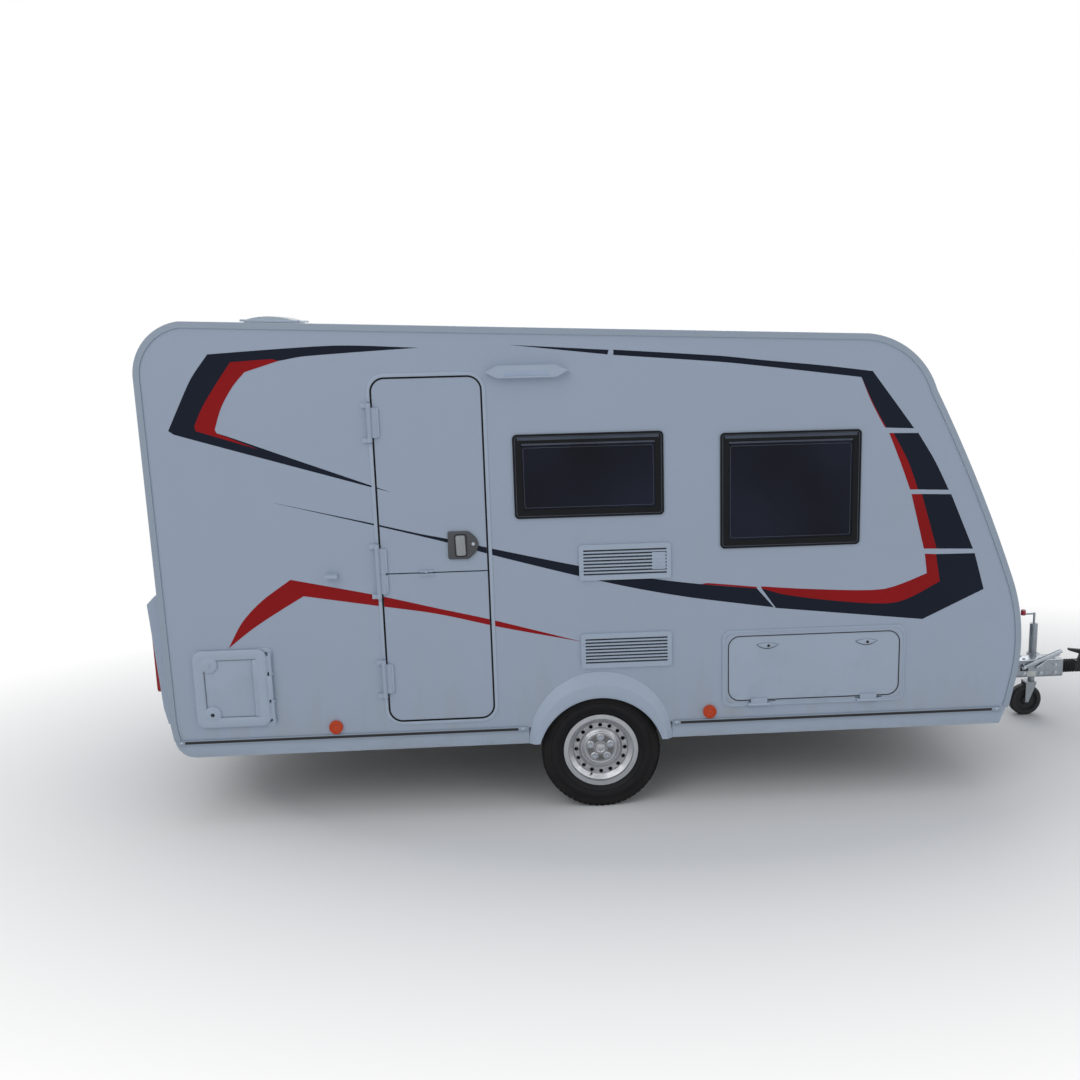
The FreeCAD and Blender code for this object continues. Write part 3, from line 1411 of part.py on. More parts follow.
def jockey_fork():
    """The swivelling fork: a plate under the leg and two cheeks down to the wheel's axle."""
    top = S.jockey_inner_bottom - S.hinge_end_gap
    under = top - S.jockey_plate_height
    half = S.jockey_wheel_width / 2 + S.jockey_plate
    x, trail = JOCKEY_X, S.jockey_trail
    r = S.jockey_pin_radius
    plate = block("fork_plate", x - trail - r, x + r * 2, JOCKEY_Y - half - S.jockey_plate,
                  JOCKEY_Y + half + S.jockey_plate, under, top)
    bore = rod("fork_bore", r + S.jockey_running_gap, S.jockey_plate_height + 2 * S.overrun_cut,
               x, JOCKEY_Y, under - S.overrun_cut)
    cheeks = []
    z = S.jockey_wheel_radius
    for side in (RIGHT, LEFT):
        lo = JOCKEY_Y + (half if side == LEFT else -half - S.jockey_plate)
        loop = [(x - trail - r, z - r), (x - trail + r, z - r), (x + 2 * r, under),
                (x - trail - r, under)]
        cheeks.append(prism("fork_cheek%d" % (side + 1), FACING_Y, -(lo + S.jockey_plate),
                            S.jockey_plate, [loop]))
    axle = rod("fork_axle", S.jockey_axle_radius, 2 * (half + S.jockey_plate), x - trail,
               JOCKEY_Y - half - S.jockey_plate, z, ALONG_Y)
    return finished(cut("jockey_fork", fuse("fork", plate, axle, *cheeks), bore), "jockey_fork")


def jockey_wheel():
    """A solid-tyred wheel with a bored hub."""
    half, r = S.jockey_wheel_width / 2, S.jockey_wheel_radius
    bore = S.jockey_axle_radius + S.jockey_running_gap
    loop = [(-half, bore), (half, bore), (half, 3 * bore), (half / 2, 4 * bore),
            (half / 2, 0.6 * r), (half, 0.7 * r), (half, 0.9 * r), (0.6 * half, r),
            (-0.6 * half, r), (-half, 0.9 * r), (-half, 0.7 * r), (-half / 2, 0.6 * r),
            (-half / 2, 4 * bore), (-half, 3 * bore)]
    body = new_body("jockey_wheel")
    revolve(body, "YZ_Plane", [loop])
    return finished(body, "jockey_wheel", AXLE_X + JOCKEY_X - S.jockey_trail, JOCKEY_Y, r)


def steady(end, side, label):
    """A corner leg folded up under the floor on a pin at its inner end."""
    x = end * S.steady_reach
    tip = x + end * S.steady_length
    y0, y1 = side * STEADY_Y - S.steady_width / 2, side * STEADY_Y + S.steady_width / 2
    z, depth = S.steady_pivot, S.steady_depth / 2
    lo, hi = (x, tip) if end > 0 else (tip, x)
    beam = block(label + "_beam", lo, hi, y0, y1, z - depth, z + depth)
    eye = rod(label + "_eye", depth, S.steady_width, x, y0, z, ALONG_Y)
    foot = block(label + "_foot", tip - S.steady_foot / 2, tip + S.steady_foot / 2,
                 y0 - S.steady_foot / 4, y1 + S.steady_foot / 4, z - depth - S.steady_gauge,
                 z - depth)
    bore = rod(label + "_bore", S.steady_pin_radius + S.steady_pin_gap,
               S.steady_width + 2 * S.overrun_cut, x, y0 - S.overrun_cut, z, ALONG_Y)
    return finished(cut(label, fuse(label, beam, eye, foot), bore), label)


def steady_brackets():
    """A channel bracket with a pin for each corner leg, fixed under the floor."""
    brackets = []
    for end in (-1, 1):
        for side in (RIGHT, LEFT):
            name = "steady_bracket_%d%d" % (end + 1, side + 1)
            x, y = end * S.steady_reach, side * STEADY_Y
            half = S.steady_width / 2 + S.hinge_end_gap
            reach = S.steady_depth
            pieces = [block(name + "_top", x - reach, x + reach, y - half - S.steady_bracket,
                            y + half + S.steady_bracket,
                            S.wall_bottom - S.steady_bracket, S.wall_bottom)]
            for word, lo in (("a", y - half - S.steady_bracket), ("b", y + half)):
                pieces.append(block(name + word, x - reach / 2, x + reach / 2, lo,
                                    lo + S.steady_bracket, S.steady_pivot - S.steady_depth / 2,
                                    S.wall_bottom))
            pieces.append(rod(name + "_pin", S.steady_pin_radius,
                              2 * (half + S.steady_bracket), x, y - half - S.steady_bracket,
                              S.steady_pivot, ALONG_Y))
            brackets.append(fuse(name, *pieces))
    return finished(together("steady_brackets", *brackets), "steady_brackets")


def bumper_block(name, gauge):
    """The rear moulding's block, drawn that much inside its skin."""
    x = -(S.rear_foot - S.wall)
    reach = -S.rear_reach + gauge
    section = [(x, S.bumper_bottom + gauge), (x, S.bumper_top - gauge),
               (reach + S.bumper_chamfer, S.bumper_top - gauge),
               (reach, S.bumper_top - S.bumper_chamfer - gauge / 2),
               (reach + S.bumper_taper, S.bumper_bottom + S.bumper_foot_rise),
               (reach + S.bumper_taper + S.bumper_foot_depth, S.bumper_bottom + gauge)]
    half = HALF_WIDTH - S.bumper_inset - gauge
    return prism(name, FACING_Y, -half, 2 * half, [section])


def rear_bumper():
    """The hollow moulding across the rear wall that carries the lamps."""
    shell = cut("rear_bumper", bumper_block("bumper", ZERO),
                bumper_block("bumper_hollow", S.bumper_gauge), SHELL_SOLID)
    return finished(shell, "rear_bumper")


def rear_lamps():
    """A lamp cluster at each end of the rear moulding, seated on its sloping face."""
    lamps = []
    z0 = (S.bumper_bottom + S.bumper_top - S.lamp_height) / 2
    for side in (RIGHT, LEFT):
        y0 = side * (HALF_WIDTH - S.bumper_inset)
        y0 = y0 - S.lamp_width - S.wall if side == LEFT else y0 + S.wall
        lamps.append(prism("lamp%d" % (side + 1), FACING_X, -S.rear_reach, S.rear_reach - S.rear_foot,
                           [rounded(y0, z0, S.lamp_width, S.lamp_height, S.wall)]))
    seat = bumper_block("lamp_seat", ZERO)
    return finished(cut("rear_lamps", together("lamps", *lamps), seat, SHELL_SOLID), "rear_lamps")


def side_marker_lamps():
    lamps = []
    for side in (RIGHT, LEFT):
        for number, x in enumerate((-S.rear_marker_distance, S.front_marker_distance)):
            y = -HALF_WIDTH - S.marker_thickness if side == RIGHT else HALF_WIDTH
            lamps.append(rod("marker%d%d" % (side + 1, number), S.marker_radius,
                             S.marker_thickness, x, y, S.marker_height, ALONG_Y))
    return finished(together("side_marker_lamps", *lamps), "side_marker_lamps")


def awning_lamp():
    x0, z0 = -S.awning_lamp_rear, S.roof_height - S.awning_lamp_drop
    x1, z1 = x0 + S.awning_lamp_width, z0 + S.awning_lamp_height
    r = S.awning_lamp_height
    loop = [(x0 + r, z0), (x1 - r, z0), (x1, z0 + r / 2), (x1 - r, z1), (x0 + r, z1),
            (x0, z0 + r / 2)]
    body = new_body("awning_lamp")
    side_pad(body, RIGHT, HALF_WIDTH, S.awning_lamp_thickness, [loop])
    return finished(body, "awning_lamp")


def roof_vent():
    """A shallow clear dome over the hole in the roof."""
    x0 = -S.roof_vent_rear
    x1 = x0 + S.roof_vent_size
    half = S.roof_vent_size / 2
    rim = S.roof_vent_rim
    fall = S.roof_fall / (S.roof_front - ROOF_REAR_X)
    z0 = S.roof_height - (x0 - ROOF_REAR_X) * fall
    z1 = S.roof_height - (x1 - ROOF_REAR_X) * fall
    loop = [(x0, z0), (x1, z1), (x1, z1 + rim), (x0, z0 + rim, S.roof_vent_radius, 1)]
    body = new_body("roof_vent")
    pad(body, "XZ_Plane", -half, 2 * half, [loop])
    return finished(body, "roof_vent")


def door_retainer():
    x0 = -S.retainer_rear
    z0 = S.retainer_height - S.retainer_thickness / 2
    return finished(block("retainer", x0, x0 + S.retainer_length, -HALF_WIDTH - S.retainer_proud,
                          -HALF_WIDTH, z0, z0 + S.retainer_thickness), "door_retainer",
                    AXLE_X - S.retainer_rear, -HALF_WIDTH - S.retainer_proud, z0)


def bench(side, name):
    """A locker bench along one side of the front of the cabin, open towards the floor."""
    y0 = -INNER_HALF + S.seat_gap if side == RIGHT else INNER_HALF - S.seat_gap - S.bench_depth
    x0, x1 = S.bench_rear, S.bench_rear + S.bench_length
    top = FLOOR_TOP + S.bench_height
    g = S.board_gauge
    box = block(name + "_box", x0, x1, y0, y0 + S.bench_depth, FLOOR_TOP, top)
    room = block(name + "_room", x0 + g, x1 - g, y0 + g, y0 + S.bench_depth - g,
                 FLOOR_TOP - S.overrun_cut, top - g)
    return cut(name, box, room)


def front_benches():
    return finished(together("front_benches", bench(RIGHT, "bench_right"),
                             bench(LEFT, "bench_left")), "front_benches")


def kitchen_unit():
    """The cabinet behind the two vents, open towards the floor and the wall."""
    g = S.board_gauge
    y0 = -INNER_HALF + S.seat_gap
    y1 = y0 + S.kitchen_depth
    top = FLOOR_TOP + S.kitchen_height
    x0, x1 = -S.kitchen_rear, -S.kitchen_rear + S.kitchen_length
    box = block("kitchen_box", x0, x1, y0, y1, FLOOR_TOP, top)
    room = block("kitchen_room", x0 + g, x1 - g, y0 - S.overrun_cut, y1 - g,
                 FLOOR_TOP - S.overrun_cut, top - g)
    return finished(cut("kitchen_unit", box, room), "kitchen_unit")


def gas_bottles():
    """Two gas bottles that stand in the nose, each hollow up to its valve's bore."""
    bottles = []
    g, r, neck = S.bottle_gauge, S.bottle_radius, S.bottle_neck
    shoulder, top = S.bottle_height - r / 3, S.bottle_height
    head = top + S.bottle_valve
    loop = [(ZERO, ZERO), (r, ZERO), (r, shoulder), (neck, top, r, 1), (neck, head),
            (neck / 2, head), (neck / 2, top - g), (r - g, shoulder - g / 2), (r - g, g), (ZERO, g)]
    for side in (RIGHT, LEFT):
        body = new_body("bottle%d" % (side + 1))
        revolve(body, "XZ_Plane", [loop], "V_Axis")
        place(body, S.bottle_middle, side * S.bottle_side, FLOOR_TOP)
        bottles.append(body)
    return finished(together("gas_bottles", *bottles), "gas_bottles")


floor_panel()
side_wall(RIGHT, "side_wall_right")
side_wall(LEFT, "side_wall_left")
rear_wall()
roof_panel()
front_wall()
edge_rails()
bottom_rails()
side_skirts()
wheel_arches()
wheel_boxes()
door_frame()
door_hinges()
door_halves()
door_handle()
windows()
vent_grilles()
hatches()
gas_locker()
frame_rail(RIGHT, "frame_rail_right")
frame_rail(LEFT, "frame_rail_left")
drawbar_arm(RIGHT, "drawbar_arm_right")
drawbar_arm(LEFT, "drawbar_arm_left")
axle_tube()
trailing_arms()
for hand, word in ((RIGHT, "right"), (LEFT, "left")):
    tyre(hand, "tyre_" + word)
    rim(hand, "rim_" + word)
    brake_drum(hand, "brake_drum_" + word)
overrun_housing()
bellows()
coupling_shaft()
coupling_head()
handbrake_lever()
jockey_clamp()
jockey_tube()
jockey_leg()
jockey_fork()
jockey_wheel()
for hand, word in ((RIGHT, "right"), (LEFT, "left")):
    steady(-1, hand, "rear_steady_" + word)
    steady(1, hand, "front_steady_" + word)
steady_brackets()
rear_bumper()
rear_lamps()
side_marker_lamps()
awning_lamp()
roof_vent()
door_retainer()
front_benches()
kitchen_unit()
gas_bottles()

doc.recompute()
faults = [thing.Name for thing in doc.Objects
          if any(word in state for state in thing.State for word in ("Invalid", "Error"))]
for part in SUB_PARTS:
    if part.Shape.isNull() or not part.Shape.isValid() or not part.Shape.Solids:
        faults.append(part.Label)
if faults:
    raise RuntimeError("These failed: " + ", ".join(faults))
os.makedirs("parts", exist_ok=True)
for part in SUB_PARTS:
    part.Shape.exportStep("parts/%s.step" % part.Label)
print("%d sub-parts written" % len(SUB_PARTS))
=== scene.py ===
"""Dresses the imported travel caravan: finishes, vinyl stripes, trim, wheel details and fittings."""
import json
import math

import bmesh
import bpy
from mathutils import Matrix, Vector


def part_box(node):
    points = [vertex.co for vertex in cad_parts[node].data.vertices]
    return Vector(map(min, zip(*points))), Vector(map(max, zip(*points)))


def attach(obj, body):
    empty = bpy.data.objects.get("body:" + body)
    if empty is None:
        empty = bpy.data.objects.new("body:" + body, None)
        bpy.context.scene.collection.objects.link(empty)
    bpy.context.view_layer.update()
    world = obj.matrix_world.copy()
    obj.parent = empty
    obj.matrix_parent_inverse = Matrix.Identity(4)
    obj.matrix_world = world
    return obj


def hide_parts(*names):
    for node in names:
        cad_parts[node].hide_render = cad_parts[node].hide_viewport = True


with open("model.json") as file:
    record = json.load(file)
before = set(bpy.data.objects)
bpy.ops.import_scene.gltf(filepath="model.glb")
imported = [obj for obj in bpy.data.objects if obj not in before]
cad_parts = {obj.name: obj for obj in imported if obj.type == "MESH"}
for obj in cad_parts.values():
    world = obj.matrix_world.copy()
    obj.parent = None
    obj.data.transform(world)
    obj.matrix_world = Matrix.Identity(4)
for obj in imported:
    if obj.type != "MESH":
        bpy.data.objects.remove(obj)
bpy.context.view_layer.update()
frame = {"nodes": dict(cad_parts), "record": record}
NODES = frame["nodes"]

bl_info = {
    "name": "Travel Caravan Dressing",
    "version": (1, 0, 0),
    "blender": (4, 5, 0),
    "location": "View3D > Sidebar > Caravan",
    "description": "Finishes and small fittings for a single-axle travel caravan",
    "category": "Object",
}

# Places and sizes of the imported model, in mm. Places on a side wall are ahead of the axle and
# above the ground, and boxes on it are rear, front, bottom and top.
MM = 0.001
AXLE = -550
WALL = 1050
HUB_Z = 311
WHEEL_Y = 925
LEAF = 5
DOOR = (-1079.0, -544.0, 533.0, 2271.0)
DOOR_SPLIT = 1305.0
DOOR_HINGES = ((662, 867), (1179, 1463), (1959, 2157))
WINDOWS = ((-404, 340, 1562, 1980), (623, 1333, 1377, 1960))
VENTS = ((-92.0, 372.0, 1237.0, 1419.0), (-92.0, 372.0, 776.0, 958.0))
SERVICE = (-1856, 745)
LOCKER = (1110, 742.5)
MARKERS_X = (-1352, 566)
MARKERS_Z = 518
ROOF_FALL = math.degrees(math.atan2(134, 1363 + 1958))
REAR_LEAN = -3.5

# Bottom rails: rear and front end of each, and of its black insert
RAILS = ((-2148, -378, -2112, -427), (374, 2110, 414, 2060))
RAIL_Z = 466.0
RAIL_OUT = 8

# Wheels
TYRE_RADIUS = 311
BOLTS = 5
BOLT_CIRCLE = 56
HOLE_CIRCLE = 128
# Middle radius of the painted shade in the wheel's sunken ring
DISH_CIRCLE = 54

# The camera of the photograph: angles in radians, place in metres, the rest in pixels
IMAGE = 1080
YAW, PITCH, ROLL = 0.05386, 0.19666, 0.02371
CAMERA_AT = (-0.864, -6.600, 2.4987)
FOCAL = 1130.335
CENTRE = (594.0, 550.0)
SENSOR = 36.0

# Radius of the hole that a turned shape's cap fills, distance at which points count as one,
# distance that keeps two shapes apart, and least angle of an edge that is a rim, in radians
TIP = 0.2
WELD = 0.001
UNWELDED = 0.01
RIM_ANGLE = 0.5

RIGHT, LEFT = -1, 1
SIDES = (RIGHT, LEFT)

# Dirt: its colours, the lower edge of the skirt and the place behind the wheel that gets most of
# the spray; and where the studio floor fades to white, in metres
ROAD_FILM = (0.33, 0.31, 0.28)
SPLASH_DIRT = (0.20, 0.18, 0.155)
SKIRT_EDGE = (0.375, 0.425)
SPRAY_BEHIND = 1.35
FLOOR_FADE = (2.0, 4.4)

# Finishes by key: the slots of the imported model and the finishes of the added pieces
FINISHES = {}


# Settings

def colour_setting(name, description, default):
    return bpy.props.FloatVectorProperty(
        name=name, description=description, default=default, subtype="COLOR", size=3, min=0,
        max=1)


def length_setting(name, description, default, low, high):
    return bpy.props.FloatProperty(
        name=name, description=description, default=default, min=low, max=high, precision=4,
        subtype="DISTANCE", unit="LENGTH")


class CaravanColours(bpy.types.PropertyGroup):
    """Colours of the finishes."""
    # Body and trim are white paint; these defaults, and the rail and skirt colours drawn from the
    # trim, are darker and bluer: painted blue shade
    body: colour_setting("Body", "Gloss skin of the body", (0.355, 0.425, 0.535))
    trim: colour_setting("Trim", "Moulded plastic trim", (0.395, 0.47, 0.575))
    stripe_dark: colour_setting("Dark stripe", "Anthracite vinyl", (0.006, 0.010, 0.022))
    stripe_red: colour_setting("Red stripe", "Dark red vinyl", (0.29, 0.007, 0.009))
    amber: colour_setting("Amber", "Side reflectors", (0.60, 0.060, 0.010))


class CaravanSizes(bpy.types.PropertyGroup):
    """Sizes of the small fittings."""
    vinyl: length_setting("Vinyl", "Thickness of the stripes", 0.0006, 0.0002, 0.002)
    strip_height: length_setting("Rail insert", "Height of the black strip in the bottom rail",
                                 0.013, 0.004, 0.02)
    bolt_radius: length_setting("Bolt", "Radius of a chassis bolt head", 0.010, 0.004, 0.02)
    tread_depth: length_setting("Tread depth", "Depth of the tyre's tread blocks", 0.006, 0.002,
                                0.01)
    tread_blocks: bpy.props.IntProperty(
        name="Tread blocks", description="Blocks round the tyre", default=64, min=24, max=96)


def setting(name):
    """A size of the settings, in mm."""
    return getattr(bpy.context.scene.caravan_sizes, name) / MM


# Shader maths

class Wire:
    """A shader socket that can be used in sums."""

    def __init__(self, graph, socket):
        self.graph = graph
        self.socket = socket

    def maths(self, operation, *others, clamp=False):
        return self.graph.node("ShaderNodeMath", {"operation": operation, "use_clamp": clamp},
                               dict(enumerate((self,) + others)))

    def __add__(self, other):
        return self.maths("ADD", other)

    __radd__ = __add__

    def __mul__(self, other):
        return self.maths("MULTIPLY", other)

    __rmul__ = __mul__

    def __sub__(self, other):
        return self.maths("SUBTRACT", other)

    def __rsub__(self, other):
        return self * -1 + other

    def __pow__(self, other):
        return self.maths("POWER", other)

    def size(self):
        return self.maths("ABSOLUTE")

    def clamped(self):
        return self.maths("ADD", 0.0, clamp=True)

    def ramp(self, low, high):
        """0 at low, 1 at high, straight between."""
        return ((self - low) * (1.0 / (high - low))).clamped()


class Graph:
    """The nodes of a material or a world."""

    def __init__(self, owner):
        owner.use_nodes = True
        self.tree = owner.node_tree

    def feed(self, entry, thing):
        """Links a wire to a socket or sets the socket's value."""
        if isinstance(thing, Wire):
            self.tree.links.new(thing.socket, entry)
        elif hasattr(thing, "__len__") and entry.type == "RGBA":
            entry.default_value = (*thing, 1.0)
        else:
            entry.default_value = thing

    def node(self, kind, settings=None, inputs=None, output=0):
        """Adds a node: its settings first, then the values or links of its sockets."""
        node = self.tree.nodes.new(kind)
        for key, value in (settings or {}).items():
            setattr(node, key, value)
        for key, thing in (inputs or {}).items():
            self.feed(node.inputs[key], thing)
        return Wire(self, node.outputs[output])

    def seen(self):
        """1 for the camera and for what metal and glass show, 0 for the light on the object."""
        rays = [self.node("ShaderNodeLightPath", output=name)
                for name in ("Is Camera Ray", "Is Glossy Ray", "Is Transmission Ray")]
        return rays[0].maths("MAXIMUM", rays[1]).maths("MAXIMUM", rays[2])

    def shown(self, out, share, one, other):
        """Sends two shaders, mixed by share, to the output node."""
        mixed = self.node("ShaderNodeMixShader", None, {0: share, 1: one, 2: other})
        self.feed(self.tree.nodes[out].inputs["Surface"], mixed)


class Finish(Graph):
    """One procedural material; fixed holds values of its shader's sockets."""

    def __init__(self, name, colour, **fixed):
        self.material = bpy.data.materials.new(name)
        super().__init__(self.material)
        self.colour = colour
        self.shader = self.tree.nodes["Principled BSDF"]
        self.put("Base Color", colour)
        for key, number in fixed.items():
            self.put(key.replace("_", " "), number)
        self.material.diffuse_color = (*colour, 1.0)
        self.place = self.node("ShaderNodeTexCoord", output="Object")

    def put(self, socket, thing):
        self.feed(self.shader.inputs[socket], thing)

    def noise(self, scale, detail=3.0, rough=0.5, place=None):
        return self.node("ShaderNodeTexNoise", None, {
            "Vector": place or self.place, "Scale": scale, "Detail": detail, "Roughness": rough})

    def cells(self, scale, output="Distance"):
        return self.node("ShaderNodeTexVoronoi", None, {"Vector": self.place, "Scale": scale},
                         output)

    def flecks(self, scale):
        """One even shade for each cell."""
        return self.node("ShaderNodeSeparateXYZ", None, {0: self.cells(scale, "Color")}, "X")

    def waves(self, scale, direction):
        return self.node("ShaderNodeTexWave", {"bands_direction": direction},
                         {"Vector": self.place, "Scale": scale}, "Fac")

    def stretched(self, scale):
        return self.node("ShaderNodeMapping", None, {"Vector": self.place, "Scale": scale})

    def axis(self, letter):
        return self.node("ShaderNodeSeparateXYZ", None, {0: self.place}, letter)

    def from_hub(self):
        """Distance from the axle's line, in metres."""
        x = self.axis("X") - AXLE * MM
        z = self.axis("Z") - HUB_Z * MM
        return (x * x + z * z) ** 0.5

    def mix(self, share, one, other):
        return self.node("ShaderNodeMix", {"data_type": "RGBA"},
                         {"Factor": share, 6: one, 7: other}, 2)

    def shades(self, share, one, other):
        """The material's colour, from one strength to the other."""
        return self.mix(share, tint(self.colour, one), tint(self.colour, other))

    def dress(self, base, roughness, height, strength, distance):
        """Sets what changes over the surface and gives the material."""
        self.put("Base Color", base)
        self.put("Roughness", roughness)
        self.put("Normal", self.node("ShaderNodeBump", None, {
            "Height": height, "Strength": strength, "Distance": distance}, "Normal"))
        return self.material


def tint(colour, factor):
    return tuple(min(1.0, max(0.0, part * factor)) for part in colour)


def gloss_skin(name, colour):
    """Painted sheet: faint panel waves, fine orange peel, road film towards the bottom."""
    f = Finish(name, colour, Coat_Weight=0.15, Coat_Roughness=0.2)
    low = 1 - f.axis("Z").ramp(0.35, 1.05)
    streaks = f.noise(3.0, 5, 0.6, f.stretched((2.2, 2.2, 0.35))).ramp(0.42, 0.75)
    film = (low * low * 0.55 + 0.06) * streaks
    base = f.mix(film, f.shades(f.noise(0.9, 2), 0.965, 1.03), ROAD_FILM)
    return f.dress(base, f.noise(7.0) * 0.10 + film * 0.35 + 0.26,
                   f.noise(1.6, 2, 0.4) + f.noise(240.0, 2) * 0.012, 0.16, 0.010)


def moulded(name, colour, roughness=0.38):
    """Injection-moulded or laminated plastic with a fine grain and a little dirt."""
    f = Finish(name, colour)
    dirt = f.noise(6.0, 4, 0.6).ramp(0.55, 0.85) * (1 - f.axis("Z").ramp(0.3, 1.3)) * 0.35
    base = f.mix(dirt, f.shades(f.noise(3.0, 2), 0.95, 1.03), tint(colour, 0.45))
    return f.dress(base, f.noise(14.0) * 0.14 + (roughness - 0.07), f.cells(900.0), 0.12, 0.0006)


def rolled_rail(name, colour):
    """Painted aluminium section with faint drawing lines along it."""
    f = Finish(name, colour, Metallic=0.25)
    lines = f.noise(40.0, 3, 0.6, f.stretched((0.15, 8.0, 8.0)))
    return f.dress(f.shades(lines, 0.90, 1.04), lines * 0.2 + 0.22, lines, 0.1, 0.0008)


def skirt_sheet(name, colour):
    """Thin painted side skirt with splash dirt behind the wheel and along its edge."""
    f = Finish(name, colour)
    spray = f.noise(11.0, 6, 0.62).ramp(0.40, 0.85)
    edge = 1 - f.axis("Z").ramp(*SKIRT_EDGE)
    behind = (f.axis("X") + SPRAY_BEHIND).size().ramp(0.9, 0.1) * 0.22
    dirt = (edge * 0.45 + behind) * spray
    base = f.mix(dirt, f.shades(f.noise(2.0, 2), 0.93, 1.0), SPLASH_DIRT)
    return f.dress(base, f.noise(9.0) * 0.15 + dirt * 0.3 + 0.28,
                   f.noise(30.0, 3, 0.5, f.stretched((0.2, 4, 4))), 0.08, 0.001)


def soft_rubber(name, colour, roughness=0.62):
    """Extruded rubber or weathered black seal."""
    f = Finish(name, colour, Specular_IOR_Level=0.3)
    return f.dress(f.shades(f.noise(18.0, 4, 0.6), 0.7, 1.6),
                   f.noise(26.0) * 0.22 + (roughness - 0.12), f.noise(500.0, 2), 0.2, 0.0005)


def gloss_black(name, colour):
    """Gloss black frame and pane border."""
    f = Finish(name, colour, Specular_IOR_Level=0.14)
    return f.dress(f.shades(f.noise(5.0), 0.6, 1.2), f.noise(12.0) * 0.08 + 0.08,
                   f.noise(3.0, 2), 0.1, 0.004)


def smoked_pane(name, dark, light):
    """Dark acrylic that lets a little of the inside show; slightly wavy."""
    f = Finish(name, dark, Alpha=0.88, Specular_IOR_Level=0.13)
    return f.dress(f.mix(f.noise(1.3, 2).ramp(0.3, 0.7), dark, light),
                   f.noise(6.0) * 0.05 + 0.03, f.noise(3.5, 1, 0.3), 0.35, 0.006)


def clear_dome(name, dark, light):
    """Tinted clear acrylic with faint ribs."""
    f = Finish(name, dark, Alpha=0.62, Coat_Weight=0.4)
    return f.dress(f.mix(f.noise(5.0), dark, light), f.noise(20.0) * 0.15 + 0.08,
                   f.waves(30.0, "X"), 0.15, 0.002)


def galvanised(name, dark, light):
    """Hot-dip zinc: spangle cells, dull grey patches, faint runs."""
    f = Finish(name, dark, Metallic=0.7)
    bright = f.flecks(85.0)
    patch = f.noise(4.0, 4, 0.6)
    return f.dress(f.mix(bright * 0.35 + patch * 0.65, dark, light),
                   bright * 0.12 + patch * 0.20 + 0.32, f.cells(85.0) * 0.4 + f.noise(35.0),
                   0.12, 0.001)


def cast_black(name, dark, worn):
    """Black-painted casting or forging with rough skin and worn edges."""
    f = Finish(name, dark, Specular_IOR_Level=0.3)
    wear = f.noise(22.0, 5, 0.65).ramp(0.60, 0.72)
    return f.dress(f.mix(wear * 0.5, dark, worn), f.noise(30.0) * 0.25 + 0.36,
                   f.noise(160.0, 4, 0.6), 0.35, 0.001)


def wheel_silver(name, sunk=0.78):
    """Silver wheel paint: fine flake, brake dust round the holes, and painted shade in the sunken
    middle.
    """
    f = Finish(name, (0.46, 0.475, 0.50), Coat_Weight=0.3, Coat_Roughness=0.1)
    radius = f.from_hub()
    holes = 1 - (radius - HOLE_CIRCLE * MM).size().ramp(0.0, 0.045)
    # Painted shade in the sunken ring round the bolts; sunk sets how dark it is
    dish_shade = 1 - (radius - DISH_CIRCLE * MM).size().ramp(0.012, 0.026)
    spray = f.noise(26.0, 5, 0.65).ramp(0.38, 0.75)
    # Real brake dust round the holes plus the painted shade of the sunken ring
    dust = (spray * (holes * 0.55 + 0.12) + dish_shade * sunk).clamped()
    spark = f.flecks(1600.0)
    paint = f.mix(spark, (0.40, 0.415, 0.44), (0.55, 0.565, 0.59))
    f.put("Metallic", 0.75 - dust * 0.6)
    return f.dress(f.mix(dust, paint, (0.085, 0.080, 0.078)), spark * 0.12 + dust * 0.4 + 0.24,
                   f.noise(45.0), 0.06, 0.0008)


def tyre_rubber(name):
    """Tyre: near black, dusty near the tread, fine turned lines on the wall."""
    f = Finish(name, (0.010, 0.010, 0.012), Specular_IOR_Level=0.2)
    radius = f.from_hub()
    dust = radius.ramp(0.235, 0.312) * f.noise(14.0, 5, 0.7).ramp(0.35, 0.8)
    black = f.mix(f.noise(9.0, 4), (0.005, 0.005, 0.006), (0.011, 0.011, 0.013))
    rings = (radius * 1400.0).maths("SINE")
    return f.dress(f.mix(dust * 0.45, black, (0.060, 0.053, 0.045)),
                   dust * 0.2 + f.noise(30.0) * 0.2 + 0.48, rings * 0.2 + f.noise(220.0),
                   0.22, 0.0008)


def lens(name, colour):
    """Ribbed or prismatic lamp plastic."""
    f = Finish(name, colour, Coat_Weight=0.2, Coat_Roughness=0.05, Specular_IOR_Level=0.2)
    prisms = f.waves(55.0, "X")
    return f.dress(f.shades(prisms * 0.6 + f.noise(8.0, 2) * 0.4, 1.12, 0.78),
                   prisms * 0.08 + 0.10, prisms, 0.25, 0.001)


def planked_ply(name, light, dark):
    """Wood face with grain along X."""
    f = Finish(name, light)
    grain = f.noise(6.0, 6, 0.65, f.stretched((1.2, 14.0, 14.0)))
    fibre = f.noise(40.0, 4, 0.6, f.stretched((2.4, 42.0, 42.0)))
    return f.dress(f.mix((grain * 0.7 + fibre * 0.3).ramp(0.3, 0.7), dark, light),
                   fibre * 0.2 + 0.42, fibre, 0.15, 0.001)


def vinyl(name, colour):
    f = Finish(name, colour, Specular_IOR_Level=0.12)
    return f.dress(f.shades(f.noise(2.5), 0.82, 1.25), f.noise(9.0) * 0.12 + 0.28,
                   f.noise(400.0, 2), 0.05, 0.0005)


def bright_metal(name, colour):
    """Zinc-plated steel, brushed along X."""
    f = Finish(name, colour, Metallic=0.95)
    scratch = f.noise(60.0, 4, 0.6, f.stretched((1, 6, 6)))
    return f.dress(f.shades(scratch, 0.75, 1.1), scratch * 0.25 + 0.16, scratch, 0.06, 0.0005)


def grained_paint(name, colour):
    f = Finish(name, colour)
    return f.dress(f.shades(f.noise(20.0), 0.85, 1.15), f.noise(30.0) * 0.2 + 0.34,
                   f.cells(1200.0), 0.15, 0.0005)


